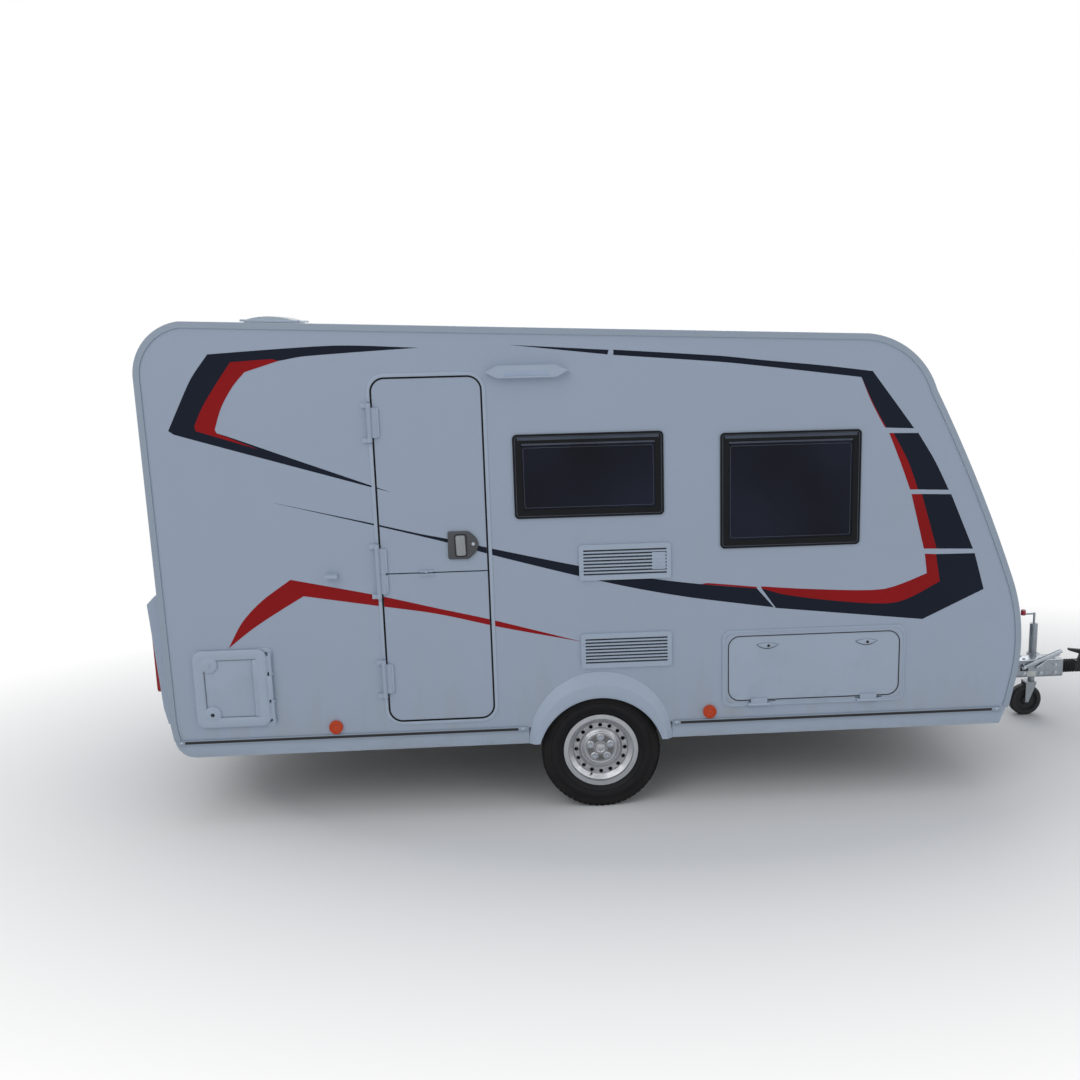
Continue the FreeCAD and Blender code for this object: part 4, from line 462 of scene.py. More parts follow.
def pleats(name, colour):
    """Folded blind fabric; its colour follows the folds: painted shade in the creases, painted light
    on the ridges.
    """
    f = Finish(name, colour)
    fold_and_shade = f.waves(36.0, "Z")
    return f.dress(f.shades(fold_and_shade, 0.75, 1.1), f.noise(60.0) * 0.15 + 0.72, fold_and_shade, 0.5, 0.004)


def make_finishes():
    c = bpy.context.scene.caravan_colours
    FINISHES.update({
        "body_white": gloss_skin("gloss_body_skin", tuple(c.body)),
        "trim_white": moulded("moulded_trim", tuple(c.trim)),
        "rail_white": rolled_rail("rolled_edge_rail", tint(c.trim, 0.78)),
        "skirt_white": skirt_sheet("painted_skirt", tint(c.trim, 0.96)),
        "seal_black": gloss_black("black_window_frame", (0.006, 0.007, 0.009)),
        # A grey lighter than the black frame: painted highlight on the pane's edge lines and hinge
        # rails
        "pane_line_highlight": gloss_black("pane_edge_line", (0.075, 0.090, 0.120)),
        "window_tint": smoked_pane("smoked_acrylic", (0.002, 0.003, 0.006),
                                   (0.014, 0.018, 0.040)),
        "dome_clear": clear_dome("roof_dome_acrylic", (0.24, 0.36, 0.46), (0.42, 0.54, 0.62)),
        "galvanised": galvanised("galvanised_steel", (0.24, 0.27, 0.30), (0.40, 0.43, 0.47)),
        "black_metal": cast_black("black_cast_steel", (0.012, 0.013, 0.015),
                                  (0.09, 0.075, 0.062)),
        "wheel_silver": wheel_silver("silver_wheel_paint"),
        "cap_silver": wheel_silver("silver_cap_paint", 0.0),
        "tyre_black": tyre_rubber("tyre_rubber"),
        "rubber_black": soft_rubber("black_rubber", (0.022, 0.022, 0.024)),
        "plastic_grey": moulded("dark_grey_plastic", (0.055, 0.060, 0.068), 0.45),
        "lens_amber": lens("amber_lens", tuple(c.amber)),
        "lens_red": lens("red_lens", (0.36, 0.010, 0.012)),
        # Blue tint of the clear lens: a painted reflection of the sky
        "lens_clear": lens("clear_lens", (0.39, 0.48, 0.63)),
        "floor_ply": planked_ply("coated_floor_ply", (0.10, 0.085, 0.07), (0.05, 0.042, 0.035)),
        "cabinet_board": planked_ply("cabinet_veneer", (0.50, 0.34, 0.20), (0.34, 0.21, 0.11)),
        "bottle_grey": grained_paint("bottle_paint", (0.20, 0.24, 0.30)),
        "dark_vinyl": vinyl("anthracite_vinyl", tuple(c.stripe_dark)),
        "red_vinyl": vinyl("dark_red_vinyl", tuple(c.stripe_red)),
        # A grey band on the service door: painted shadow line
        "shadow_line_grey": soft_rubber("grey_painted_shadow_line", (0.16, 0.17, 0.185), 0.55),
        "bright_steel": bright_metal("bright_zinc_steel", (0.46, 0.50, 0.55)),
        "handle_grey": grained_paint("light_handle_grey", (0.32, 0.34, 0.36)),
        "knob_red": moulded("red_knob_plastic", (0.42, 0.02, 0.05), 0.4),
        "blind_fabric": pleats("pleated_blind", (0.42, 0.38, 0.32)),
        "plate_blank": moulded("blank_plate", (0.60, 0.62, 0.60), 0.35),
    })


# Mesh shapes, in mm; piece() scales them to metres

def shift(x=0.0, y=0.0, z=0.0):
    return Matrix.Translation((x, y, z))


def turn(degrees, axis):
    return Matrix.Rotation(math.radians(degrees), 4, axis)


MIRROR = Matrix.Scale(-1, 4, (0, 1, 0))
REARWARD, FORWARD, UPWARD = turn(-90, "Z"), turn(90, "Z"), turn(-90, "X")


def sided(side, place):
    """A place on the right side, or its mirror image on the left."""
    return place if side == RIGHT else MIRROR @ place


def on_wall(x, z, proud=0.0, side=RIGHT):
    """Seats a shape drawn on XZ on the outside of a side wall; x is from the axle."""
    return sided(side, shift(AXLE + x, -WALL - proud, z))


def box_mm(node):
    lo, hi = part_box(node)
    return lo / MM, hi / MM


def overhang(node):
    """How far a node stands out from the side wall."""
    return -box_mm(node)[0].y - WALL


def join(whole, shape, *moves):
    """Moves a bmesh by the given matrices and adds it to another one."""
    for move in moves:
        shape.transform(move)
    mesh = bpy.data.meshes.new("joined")
    shape.to_mesh(mesh)
    shape.free()
    whole.from_mesh(mesh)
    bpy.data.meshes.remove(mesh)
    return whole


def joined(rows):
    """One bmesh from rows that hold a bmesh and the matrices that move it."""
    whole = bmesh.new()
    for row in rows:
        join(whole, *row)
    return whole


def bevel(bm, geom, offset, segments, affect="EDGES"):
    bmesh.ops.bevel(bm, geom=geom, offset=offset, segments=segments, affect=affect,
                    profile=0.5, material=-1)


def flat(points, radius=0.0, segments=6):
    """A face on the XZ plane from corner points, its corners rounded."""
    bm = bmesh.new()
    bm.faces.new([bm.verts.new((x, 0, z)) for x, z in points])
    bm.normal_update()
    if radius:
        bevel(bm, list(bm.verts), radius, segments, "VERTICES")
        bm.normal_update()
    return bm


def rectangle(width, height, radius, segments):
    w, h = width / 2, height / 2
    return flat([(-w, -h), (w, -h), (w, h), (-w, h)], radius, segments)


def raise_faces(bm, depth, rim=0.0, segments=2):
    """Gives the flat faces a thickness towards -Y and rounds the front rim."""
    made = bmesh.ops.extrude_face_region(bm, geom=list(bm.faces))["geom"]
    top = [thing for thing in made if isinstance(thing, bmesh.types.BMVert)]
    bmesh.ops.translate(bm, verts=top, vec=(0, -depth, 0))
    if rim:
        edges = [e for e in bm.edges if all(abs(v.co.y + depth) < WELD for v in e.verts)
                 and e.calc_face_angle(0) > RIM_ANGLE]
        bevel(bm, edges, rim, segments)
    return bm


def plate(width, height, radius, depth, rim=0.0, segments=6):
    """A rounded plate centred on the origin, its back on the XZ plane."""
    return raise_faces(rectangle(width, height, radius, segments), depth, rim)


def ring_sheet(width, height, radius, breadth, segments=6, inner=None):
    """A flat rounded ring of that breadth; its inner corners follow the outer ones."""
    loops = [rectangle(width, height, radius, segments),
             rectangle(width - 2 * breadth, height - 2 * breadth,
                       inner or max(radius - breadth, 4), segments)]
    for loop in loops:
        bmesh.ops.delete(loop, geom=loop.faces[:], context="FACES_ONLY")
    bm = join(*loops)
    bmesh.ops.bridge_loops(bm, edges=bm.edges[:])
    bm.normal_update()
    if sum(face.normal.y for face in bm.faces) > 0:
        bmesh.ops.reverse_faces(bm, faces=bm.faces[:])
    return bm


def band(width, height, radius, breadth, depth, rim=0.0, segments=6):
    """A rounded rectangular ring that stands out towards -Y."""
    return raise_faces(ring_sheet(width, height, radius, breadth, segments), depth, rim)


def split(bm, xs=(), zs=()):
    """Cuts the faces along upright lines at xs and level lines at zs."""
    planes = [((x, 0, 0), (1, 0, 0)) for x in xs] + [((0, 0, z), (0, 0, 1)) for z in zs]
    for point, normal in planes:
        bmesh.ops.bisect_plane(bm, geom=bm.verts[:] + bm.edges[:] + bm.faces[:], plane_co=point,
                               plane_no=normal)


def clear(bm, *boxes, keep=False):
    """Deletes the faces whose middle is in a box, or with keep those that are in none."""
    gone = []
    for face in bm.faces:
        middle = face.calc_center_median()
        found = any(rear < middle.x < front and low < middle.z < high
                    for rear, front, low, high in boxes)
        if found != keep:
            gone.append(face)
    bmesh.ops.delete(bm, geom=gone, context="FACES")
    return bm


def turned(steps, *profile):
    """Spins (radius, along -Y) points round the Y axis."""
    bm = bmesh.new()
    verts = [bm.verts.new((radius, -out, 0)) for radius, out in profile]
    edges = [bm.edges.new(pair) for pair in zip(verts, verts[1:])]
    bmesh.ops.spin(bm, geom=verts + edges, cent=(0, 0, 0), axis=(0, 1, 0),
                   angle=math.tau, steps=steps, use_merge=True)
    bmesh.ops.remove_doubles(bm, verts=bm.verts, dist=WELD)
    rims = [e for e in bm.edges if e.is_boundary]
    if rims and min(profile[0][0], profile[-1][0]) > TIP:
        bmesh.ops.bridge_loops(bm, edges=rims)
    elif rims:
        bmesh.ops.holes_fill(bm, edges=rims)
    return bm


def button(steps, *profile):
    """A turned shape with a level face in its middle."""
    return turned(steps, (TIP, profile[0][1]), *profile)


def drum(radius, depth, rim=0.0, sides=24):
    """A short cylinder that stands out towards -Y."""
    bm = bmesh.new()
    bmesh.ops.create_cone(bm, cap_ends=True, segments=sides, radius1=radius, radius2=radius,
                          depth=depth)
    bm.transform(shift(y=-depth / 2) @ turn(90, "X"))
    bm.normal_update()
    if rim:
        bevel(bm, [e for e in bm.edges if all(v.co.y < WELD - depth for v in e.verts)], rim, 2)
    return bm


def brick(x0, x1, y0, y1, z0, z1, rim):
    """A block between two corners with its edges eased."""
    bm = bmesh.new()
    bmesh.ops.create_cube(bm, size=1)
    bm.transform(shift((x0 + x1) / 2, (y0 + y1) / 2, (z0 + z1) / 2)
                 @ Matrix.Diagonal((x1 - x0, y1 - y0, z1 - z0, 1)))
    if rim:
        bevel(bm, list(bm.edges), rim, 2)
    return bm


def bolt(radius, height):
    """Hexagon head on a washer."""
    return join(drum(radius * 1.55, height * 0.25, sides=20),
                drum(radius, height, radius * 0.12, 6))


def pipe(points, radius):
    """A round bar along points, as a mesh."""
    curve = bpy.data.curves.new("bar", "CURVE")
    curve.dimensions = "3D"
    curve.bevel_depth = radius
    curve.bevel_resolution = 3
    curve.use_fill_caps = True
    spline = curve.splines.new("POLY")
    spline.points.add(len(points) - 1)
    for point, place in zip(spline.points, points):
        point.co = (*place, 1.0)
    holder = bpy.data.objects.new("bar", curve)
    mesh = bpy.data.meshes.new_from_object(holder)
    bm = bmesh.new()
    bm.from_mesh(mesh)
    bpy.data.objects.remove(holder)
    bpy.data.curves.remove(curve)
    bpy.data.meshes.remove(mesh)
    return bm


def piece(name, finish, rows, body="caravan_body", smooth=35.0):
    """Joins rows of shapes into a finished object that rides on a body."""
    bm = joined(rows)
    bm.transform(Matrix.Scale(MM, 4))
    bmesh.ops.remove_doubles(bm, verts=bm.verts, dist=2 * WELD * MM)
    bmesh.ops.recalc_face_normals(bm, faces=bm.faces)
    for face in bm.faces:
        face.smooth = True
    for edge in bm.edges:
        edge.smooth = edge.calc_face_angle(0.0) < math.radians(smooth)
    mesh = bpy.data.meshes.new(name)
    bm.to_mesh(mesh)
    bm.free()
    mesh.materials.append(FINISHES[finish])
    obj = bpy.data.objects.new(name, mesh)
    bpy.context.scene.collection.objects.link(obj)
    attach(obj, body)
    return obj


# Steps

class CARAVAN_OT_stage(bpy.types.Operator):
    """Pale floor and backdrop, soft studio light, and the camera of the photograph"""
    bl_idname = "caravan.stage"
    bl_label = "Stage"

    def execute(self, context):
        scene = context.scene
        scene.view_settings.view_transform = "Standard"
        floor = bmesh.new()
        bmesh.ops.create_grid(floor, x_segments=2, y_segments=2, size=60)
        mesh = bpy.data.meshes.new("studio_floor")
        floor.to_mesh(mesh)
        floor.free()
        ground = bpy.data.objects.new("studio_floor", mesh)
        scene.collection.objects.link(ground)
        mesh.materials.append(self.floor_finish())
        self.world(scene)
        for lamp in (("key_light", (-6.5, -9.0, 8.5), (-0.6, 0.0, 1.0), 9.0, 340),
                     ("fill_light", (7.5, -7.5, 5.0), (0.5, 0.0, 1.0), 8.0, 120),
                     ("back_light", (2.0, 9.0, 7.0), (0.0, 0.0, 1.4), 9.0, 250),
                     ("top_light", (-0.5, 0.0, 9.0), (-0.5, 0.0, 0.0), 9.0, 160)):
            self.light(*lamp)
        self.camera(scene)
        return {"FINISHED"}

    @staticmethod
    def floor_finish():
        """Pale floor that keeps the shadow and fades to white away from the caravan."""
        f = Finish("studio_floor", (0.86, 0.86, 0.86), Roughness=0.95)
        f.put("Base Color", f.mix(f.noise(0.4, 2), (0.85, 0.85, 0.85), (0.87, 0.87, 0.87)))
        x, y = f.axis("X"), f.axis("Y")
        far = ((x * x * 0.62 + y * y * 1.5) ** 0.5).ramp(*FLOOR_FADE)
        white = f.node("ShaderNodeEmission", None, {"Strength": 1.0})
        f.shown("Material Output", far * f.seen(), Wire(f, f.shader.outputs[0]), white)
        return f.material

    @staticmethod
    def world(scene):
        """Even pale light; the camera, glass and metal see white."""
        scene.world = bpy.data.worlds.new("studio")
        g = Graph(scene.world)
        soft = g.tree.nodes["Background"]
        g.feed(soft.inputs["Color"], (0.86, 0.90, 0.96))
        g.feed(soft.inputs["Strength"], 0.42)
        white = g.node("ShaderNodeBackground", None, {"Color": (1, 1, 1), "Strength": 1.0})
        g.shown("World Output", g.seen(), Wire(g, soft.outputs[0]), white)

    @staticmethod
    def light(name, place, aim, size, power):
        lamp = bpy.data.lights.new(name, "AREA")
        lamp.size = size
        lamp.energy = power
        holder = bpy.data.objects.new(name, lamp)
        bpy.context.scene.collection.objects.link(holder)
        holder.location = place
        holder.rotation_euler = (Vector(aim) - Vector(place)).to_track_quat("-Z", "Y").to_euler()

    @staticmethod
    def camera(scene):
        """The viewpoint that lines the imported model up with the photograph."""
        ahead = Vector((math.sin(YAW) * math.cos(PITCH), math.cos(YAW) * math.cos(PITCH),
                        -math.sin(PITCH)))
        right = Vector((math.cos(YAW), -math.sin(YAW), 0))
        down = ahead.cross(right)
        across = math.cos(ROLL) * right + math.sin(ROLL) * down
        under = -math.sin(ROLL) * right + math.cos(ROLL) * down
        optics = bpy.data.cameras.new("photo_camera")
        camera = bpy.data.objects.new("photo_camera", optics)
        scene.collection.objects.link(camera)
        rotation = Matrix((across, -under, -ahead)).transposed().to_4x4()
        camera.matrix_world = Matrix.Translation(CAMERA_AT) @ rotation
        optics.sensor_width = SENSOR
        optics.lens = FOCAL * SENSOR / IMAGE
        optics.shift_x = (IMAGE / 2 - CENTRE[0]) / IMAGE
        optics.shift_y = (CENTRE[1] - IMAGE / 2) / IMAGE
        scene.camera = camera


class CARAVAN_OT_finishes(bpy.types.Operator):
    """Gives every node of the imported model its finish"""
    bl_idname = "caravan.finishes"
    bl_label = "Finishes"

    def execute(self, context):
        make_finishes()
        for row in frame["record"]["subparts"]:
            mesh = NODES[row["node"]].data
            mesh.materials.clear()
            mesh.materials.append(FINISHES[row["material_slot"]])
        return {"FINISHED"}


# Outlines of the stripes on the side wall
DARK_STRIPES = (
    # hook at the rear
    ((-1834, 2403), (-1234, 2430), (-835, 2410), (-1164, 2395), (-1400, 2381), (-1501, 2365),
     (-1537, 2373), (-1730, 2364), (-1806, 2262), (-1879, 2155), (-1925, 2065), (-1921, 2041),
     (-1822, 2028), (-1472, 1894), (-1012, 1717), (-1113, 1747), (-2022, 2026), (-2050, 2045),
     (-1997, 2149), (-1920, 2292)),
    # sweep across the door, and its front half
    ((-1581, 1681), (-1110, 1564), (-876, 1503), (-738, 1472), (-515, 1414), (-95, 1313),
     (260, 1237), (524, 1196), (811, 1163), (899, 1061), (475, 1128), (183, 1189), (-96, 1261),
     (-517, 1382), (-739, 1453), (-1110, 1556)),
    ((834, 1164), (909, 1057), (1675, 969), (1991, 1117), (1936, 1307), (1734, 1309),
     (1759, 1166), (1538, 1064), (1205, 1085), (941, 1129)),
    # band along the roof, in two
    ((-400, 2413), (79, 2378), (73, 2356)),
    ((102, 2378), (623, 2336), (829, 2311), (1133, 2277), (1383, 2243), (1495, 2095),
     (1600, 1955), (1459, 1962), (1392, 2079), (1327, 2215), (829, 2282), (623, 2307),
     (101, 2353)),
    # pillar at the front, in two
    ((1495, 1934), (1622, 1931), (1712, 1788), (1788, 1639), (1629, 1646), (1573, 1793)),
    ((1650, 1622), (1802, 1616), (1926, 1331), (1736, 1338)),
)
RED_STRIPES = (
    # edge of the rear hook
    ((-1730, 2364), (-1537, 2373), (-1501, 2365), (-1667, 2315), (-1726, 2251), (-1789, 2153),
     (-1830, 2044), (-1822, 2028), (-1634, 1946), (-1921, 2041), (-1925, 2065), (-1879, 2155),
     (-1806, 2262)),
    # edges of the sweep
    ((560, 1200), (811, 1171), (811, 1163), (524, 1196)),
    ((834, 1173), (1072, 1151), (1470, 1136), (1690, 1211), (1676, 1313), (1734, 1309),
     (1759, 1166), (1538, 1064), (1205, 1085), (941, 1129), (834, 1164)),
    # edges of the pillar and of the roof band
    ((1474, 1935), (1495, 1934), (1573, 1793), (1629, 1646), (1589, 1647), (1533, 1793)),
    ((1597, 1623), (1650, 1622), (1736, 1338), (1670, 1340)),
    ((1327, 2215), (1392, 2079), (1459, 1962), (1450, 1966), (1384, 2085)),
    # swoosh under the sweep
    ((-1856, 954), (-1778, 1085), (-1675, 1189), (-1526, 1293), (-1104, 1198), (-812, 1121),
     (-556, 1055), (-91, 919), (-500, 1011), (-812, 1092), (-1104, 1144), (-1467, 1207),
     (-1575, 1145), (-1724, 1053)),
)


class CARAVAN_OT_stripes(bpy.types.Operator):
    """Vinyl stripes on both side walls and on the two halves of the door"""
    bl_idname = "caravan.stripes"
    bl_label = "Stripes"

    def execute(self, context):
        openings = (DOOR,) + VENTS
        edge, middle = 6.5, 3.5
        leaf = (DOOR[0] + edge, DOOR[1] - edge)
        halves = (("lower", (*leaf, DOOR[2], DOOR_SPLIT - middle)),
                  ("upper", (*leaf, DOOR_SPLIT + middle, DOOR[3])))
        for word, share, outlines in (("dark", 1.0, DARK_STRIPES), ("red", 1.4, RED_STRIPES)):
            depth = setting("vinyl") * share
            finish = word + "_vinyl"
            for side, name in ((RIGHT, "right"), (LEFT, "left")):
                sheet = self.sheet(outlines, openings)
                if side == RIGHT:
                    clear(sheet, *openings)
                piece("stripes_%s_%s" % (word, name), finish,
                      [(raise_faces(sheet, depth), on_wall(0, 0, 0, side))])
            for half, box in halves:
                sheet = clear(self.sheet(outlines, openings + (box,)), box, keep=True)
                if sheet.faces:
                    piece("stripes_%s_door_%s" % (word, half), finish,
                          [(raise_faces(sheet, depth), on_wall(0, 0))], "door_" + half)
                else:
                    sheet.free()
        return {"FINISHED"}

    def sheet(self, outlines, boxes):
        """All stripes of one colour as flat faces, cut along the sides of the boxes."""
        rows = []
        for points in outlines:
            stripe = flat(self.curved(points))
            bmesh.ops.triangulate(stripe, faces=stripe.faces)
            rows.append((stripe,))
        bm = joined(rows)
        for box in boxes:
            split(bm, box[:2], box[2:])
        return bm

    @staticmethod
    def curved(points, steps=5, sharp=30):
        """The outline as a smooth curve; corners that turn by more than sharp degrees stay."""
        corners = [Vector(point) for point in points]
        count = len(corners)
        sides = [corners[(i + 1) % count] - corners[i] for i in range(count)]
        heading = [side.normalized() for side in sides]
        out = []
        for i in range(count):
            start, end = corners[i], corners[(i + 1) % count]
            tangents = []
            for before, after in ((i - 1, i), (i, (i + 1) % count)):
                corner = heading[before].angle(heading[after]) > math.radians(sharp)
                along = heading[i] if corner else (heading[before] + heading[after]).normalized()
                tangents.append(along * min(sides[before].length, sides[after].length))
            for step in range(steps):
                t = step / steps
                out.append(start * (2 * t ** 3 - 3 * t ** 2 + 1) + end * (3 * t ** 2 - 2 * t ** 3)
                           + tangents[0] * (t ** 3 - 2 * t ** 2 + t)
                           + tangents[1] * (t ** 3 - t ** 2))
        return out


class CARAVAN_OT_rails(bpy.types.Operator):
    """Black inserts of the bottom rails and their screwed end caps"""
    bl_idname = "caravan.rails"
    bl_label = "Rails"

    def execute(self, context):
        strips, caps, screws = [], [], []
        for rear, front, start, end in RAILS:
            for side in SIDES:
                strips.append((plate(end - start, setting("strip_height"), 2, 2.2, 0.8),
                               on_wall((start + end) / 2, RAIL_Z, RAIL_OUT, side)))
                for foot, head in ((rear, start), (end, front)):
                    x = (foot + head) / 2
                    caps.append((plate(head - foot - 2, 25, 8, 4, 1.5),
                                 on_wall(x, RAIL_Z, RAIL_OUT, side)))
                    screws.append((turned(16, (TIP, 2.2), (2.5, 2), (4.5, 0.8), (5, 0)),
                                   on_wall(x, RAIL_Z, RAIL_OUT + 4, side)))
        piece("rail_inserts", "rubber_black", strips)
        piece("rail_end_caps", "rail_white", caps)
        piece("rail_cap_screws", "bright_steel", screws)
        return {"FINISHED"}


class CARAVAN_OT_door(bpy.types.Operator):
    """Seal, surround, hinge caps, handle, lock and catch of the entrance door"""
    bl_idname = "caravan.door"
    bl_label = "Door"

    def execute(self, context):
        self.seal()
        for name, body, foot, head in (("lower_hinge_cap", "door_lower", 690, 839),
                                       ("middle_hinge_cap", "door_lower", 1208, 1300),
                                       ("catch_hinge_cap", "door_upper", 1310, 1434),
                                       ("upper_hinge_cap", "door_upper", 1987, 2129)):
            piece(name, "trim_white", [(plate(26, head - foot, 8, 11, 4),
                                        on_wall(-1057, (foot + head) / 2))], body)
        self.handle()
        piece("door_catch_grip", "trim_white", [(plate(18, 12, 4, 6, 2),
                                                 on_wall(-854, 1312, 7))], "door_upper")
        return {"FINISHED"}

    @staticmethod
    def seal():
        """Black lip seal in the gap, and the moulded surround that leaves the hinges free."""
        width, height = DOOR[1] - DOOR[0], DOOR[3] - DOOR[2]
        z = (DOOR[2] + DOOR[3]) / 2
        seat = on_wall((DOOR[0] + DOOR[1]) / 2, z)
        piece("door_lip_seal", "seal_black",
              [(band(width + 6, height + 6, 71, 8, 2.2, 0.8, 8), seat)])
        surround = ring_sheet(width + 40, height + 40, 88, 17, 10)
        for low, high in DOOR_HINGES:
            split(surround, zs=(low - z, high - z))
            clear(surround, (-math.inf, 0, low - z, high - z))
        piece("door_surround", "trim_white", [(raise_faces(surround, 3.5, 1.2), seat)])

    @staticmethod
    def handle():
        """Shield-shaped plate with a light pull lever and a lock."""
        shield = flat([(-72, -69), (30, -71), (70, -34), (83, 0), (70, 36), (36, 69), (-70, 71)],
                      11, 5)
        base = piece("door_handle_plate", "plastic_grey",
                     [(raise_faces(shield, 14, 4, 3), on_wall(-670, 1440))], "door_upper")
        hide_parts("door_handle")
        face = 13.8
        seat = on_wall(-677, 1440, face)
        piece("door_handle_cup", "rubber_black", [(band(62, 116, 12, 5, 2, 0.8, 5), seat)],
              "door_upper")
        piece("door_lever", "handle_grey", [(plate(46, 101, 11, 11, 4), turn(-2, "Y"), seat)],
              "door_upper")
        lock = button(24, (3, 4), (3.5, 2.5), (8, 2.5), (9, 0))
        piece("door_lock", "bright_steel", [(lock, on_wall(-615, 1446, face))], "door_upper")


class CARAVAN_OT_windows(bpy.types.Operator):
    """Raised middle of each pane, its edge lines, hinge rail and blind"""
    bl_idname = "caravan.windows"
    bl_label = "Windows"

    def execute(self, context):
        domes, lines, rails, blinds = [], [], [], []
        glass, frame_face, drop = 4.5, 9, 7
        for rear, front, low, high in WINDOWS:
            x, z = (rear + front) / 2, (low + high) / 2
            w, h = front - rear, high - low
            for side in SIDES:
                domes.append((self.dome(w - 104, h - 122), on_wall(x, z - drop, glass, side)))
                lines.append((band(w - 100, h - 118, 12, 2.4, 1.4, 0.6, 4),
                              on_wall(x, z - drop, glass, side)))
                lines.append((band(w - 20, h - 20, 14, 3, 1.4, 0.6, 5),
                              on_wall(x, z, frame_face, side)))
                rails.append((plate(w - 46, 15, 4, 5, 2.4), on_wall(x, high - 22, 8.8, side)))
                rails.append((plate(w - 86, 10, 3, 4, 1.8), on_wall(x, high - 50, glass, side)))
                blinds.append((plate(w - 100, 100, 6, 12, 2), on_wall(x, high - 76, -70, side)))
        piece("pane_domes", "window_tint", domes)
        # Edge lines and hinge rails are lighter than the black frame: painted highlight
        piece("pane_edge_lines", "pane_line_highlight", lines)
        piece("window_hinge_rails", "pane_line_highlight", rails)
        piece("window_blinds", "blind_fabric", blinds)
        return {"FINISHED"}

    @staticmethod
    def dome(width, height):
        """Shallow pillow that the pressed acrylic shows, closed at the back."""
        bm = bmesh.new()
        bmesh.ops.create_grid(bm, x_segments=24, y_segments=16, size=0.5)
        bm.transform(Matrix.Diagonal((width, height, 1, 1)))
        for vert in bm.verts:
            u, v = 2 * vert.co.x / width, 2 * vert.co.y / height
            vert.co.z = 1 + 4 * (1 - u ** 4) * (1 - v ** 4)
        rim = [edge for edge in bm.edges if edge.is_boundary]
        skirt = bmesh.ops.extrude_edge_only(bm, edges=rim)["geom"]
        foot = [thing for thing in skirt if isinstance(thing, bmesh.types.BMVert)]
        for vert in foot:
            vert.co.z = 0
        bmesh.ops.contextual_create(bm, geom=foot)
        bm.transform(turn(90, "X"))
        return bm


class CARAVAN_OT_vents(bpy.types.Operator):
    """Dark backing, closed insert and turn catches of the two side vents"""
    bl_idname = "caravan.vents"
    bl_label = "Vents"

    def execute(self, context):
        out = overhang("vent_grilles")
        piece("vent_backing", "plastic_grey",
              [(plate(front - rear - 40, high - low - 40, 4, 2),
                on_wall((rear + front) / 2, (low + high) / 2, -6))
               for rear, front, low, high in VENTS])
        x = 310
        slats = [(plate(64, 3.5, 0.8, 1.2, 0.4), on_wall(x, 1297 + number * 21, out + 0.5))
                 for number in range(4)]
        piece("vent_inserts", "trim_white",
              [(plate(68, 88, 2, 4, 1), on_wall(x, 1328, out - 3.5))] + slats)
        piece("vent_catches", "trim_white",
              [(button(20, (5, 3), (6, 0)), on_wall(-78, box[2] + height, out))
               for box in VENTS for height in (52, 130)])
        return {"FINISHED"}


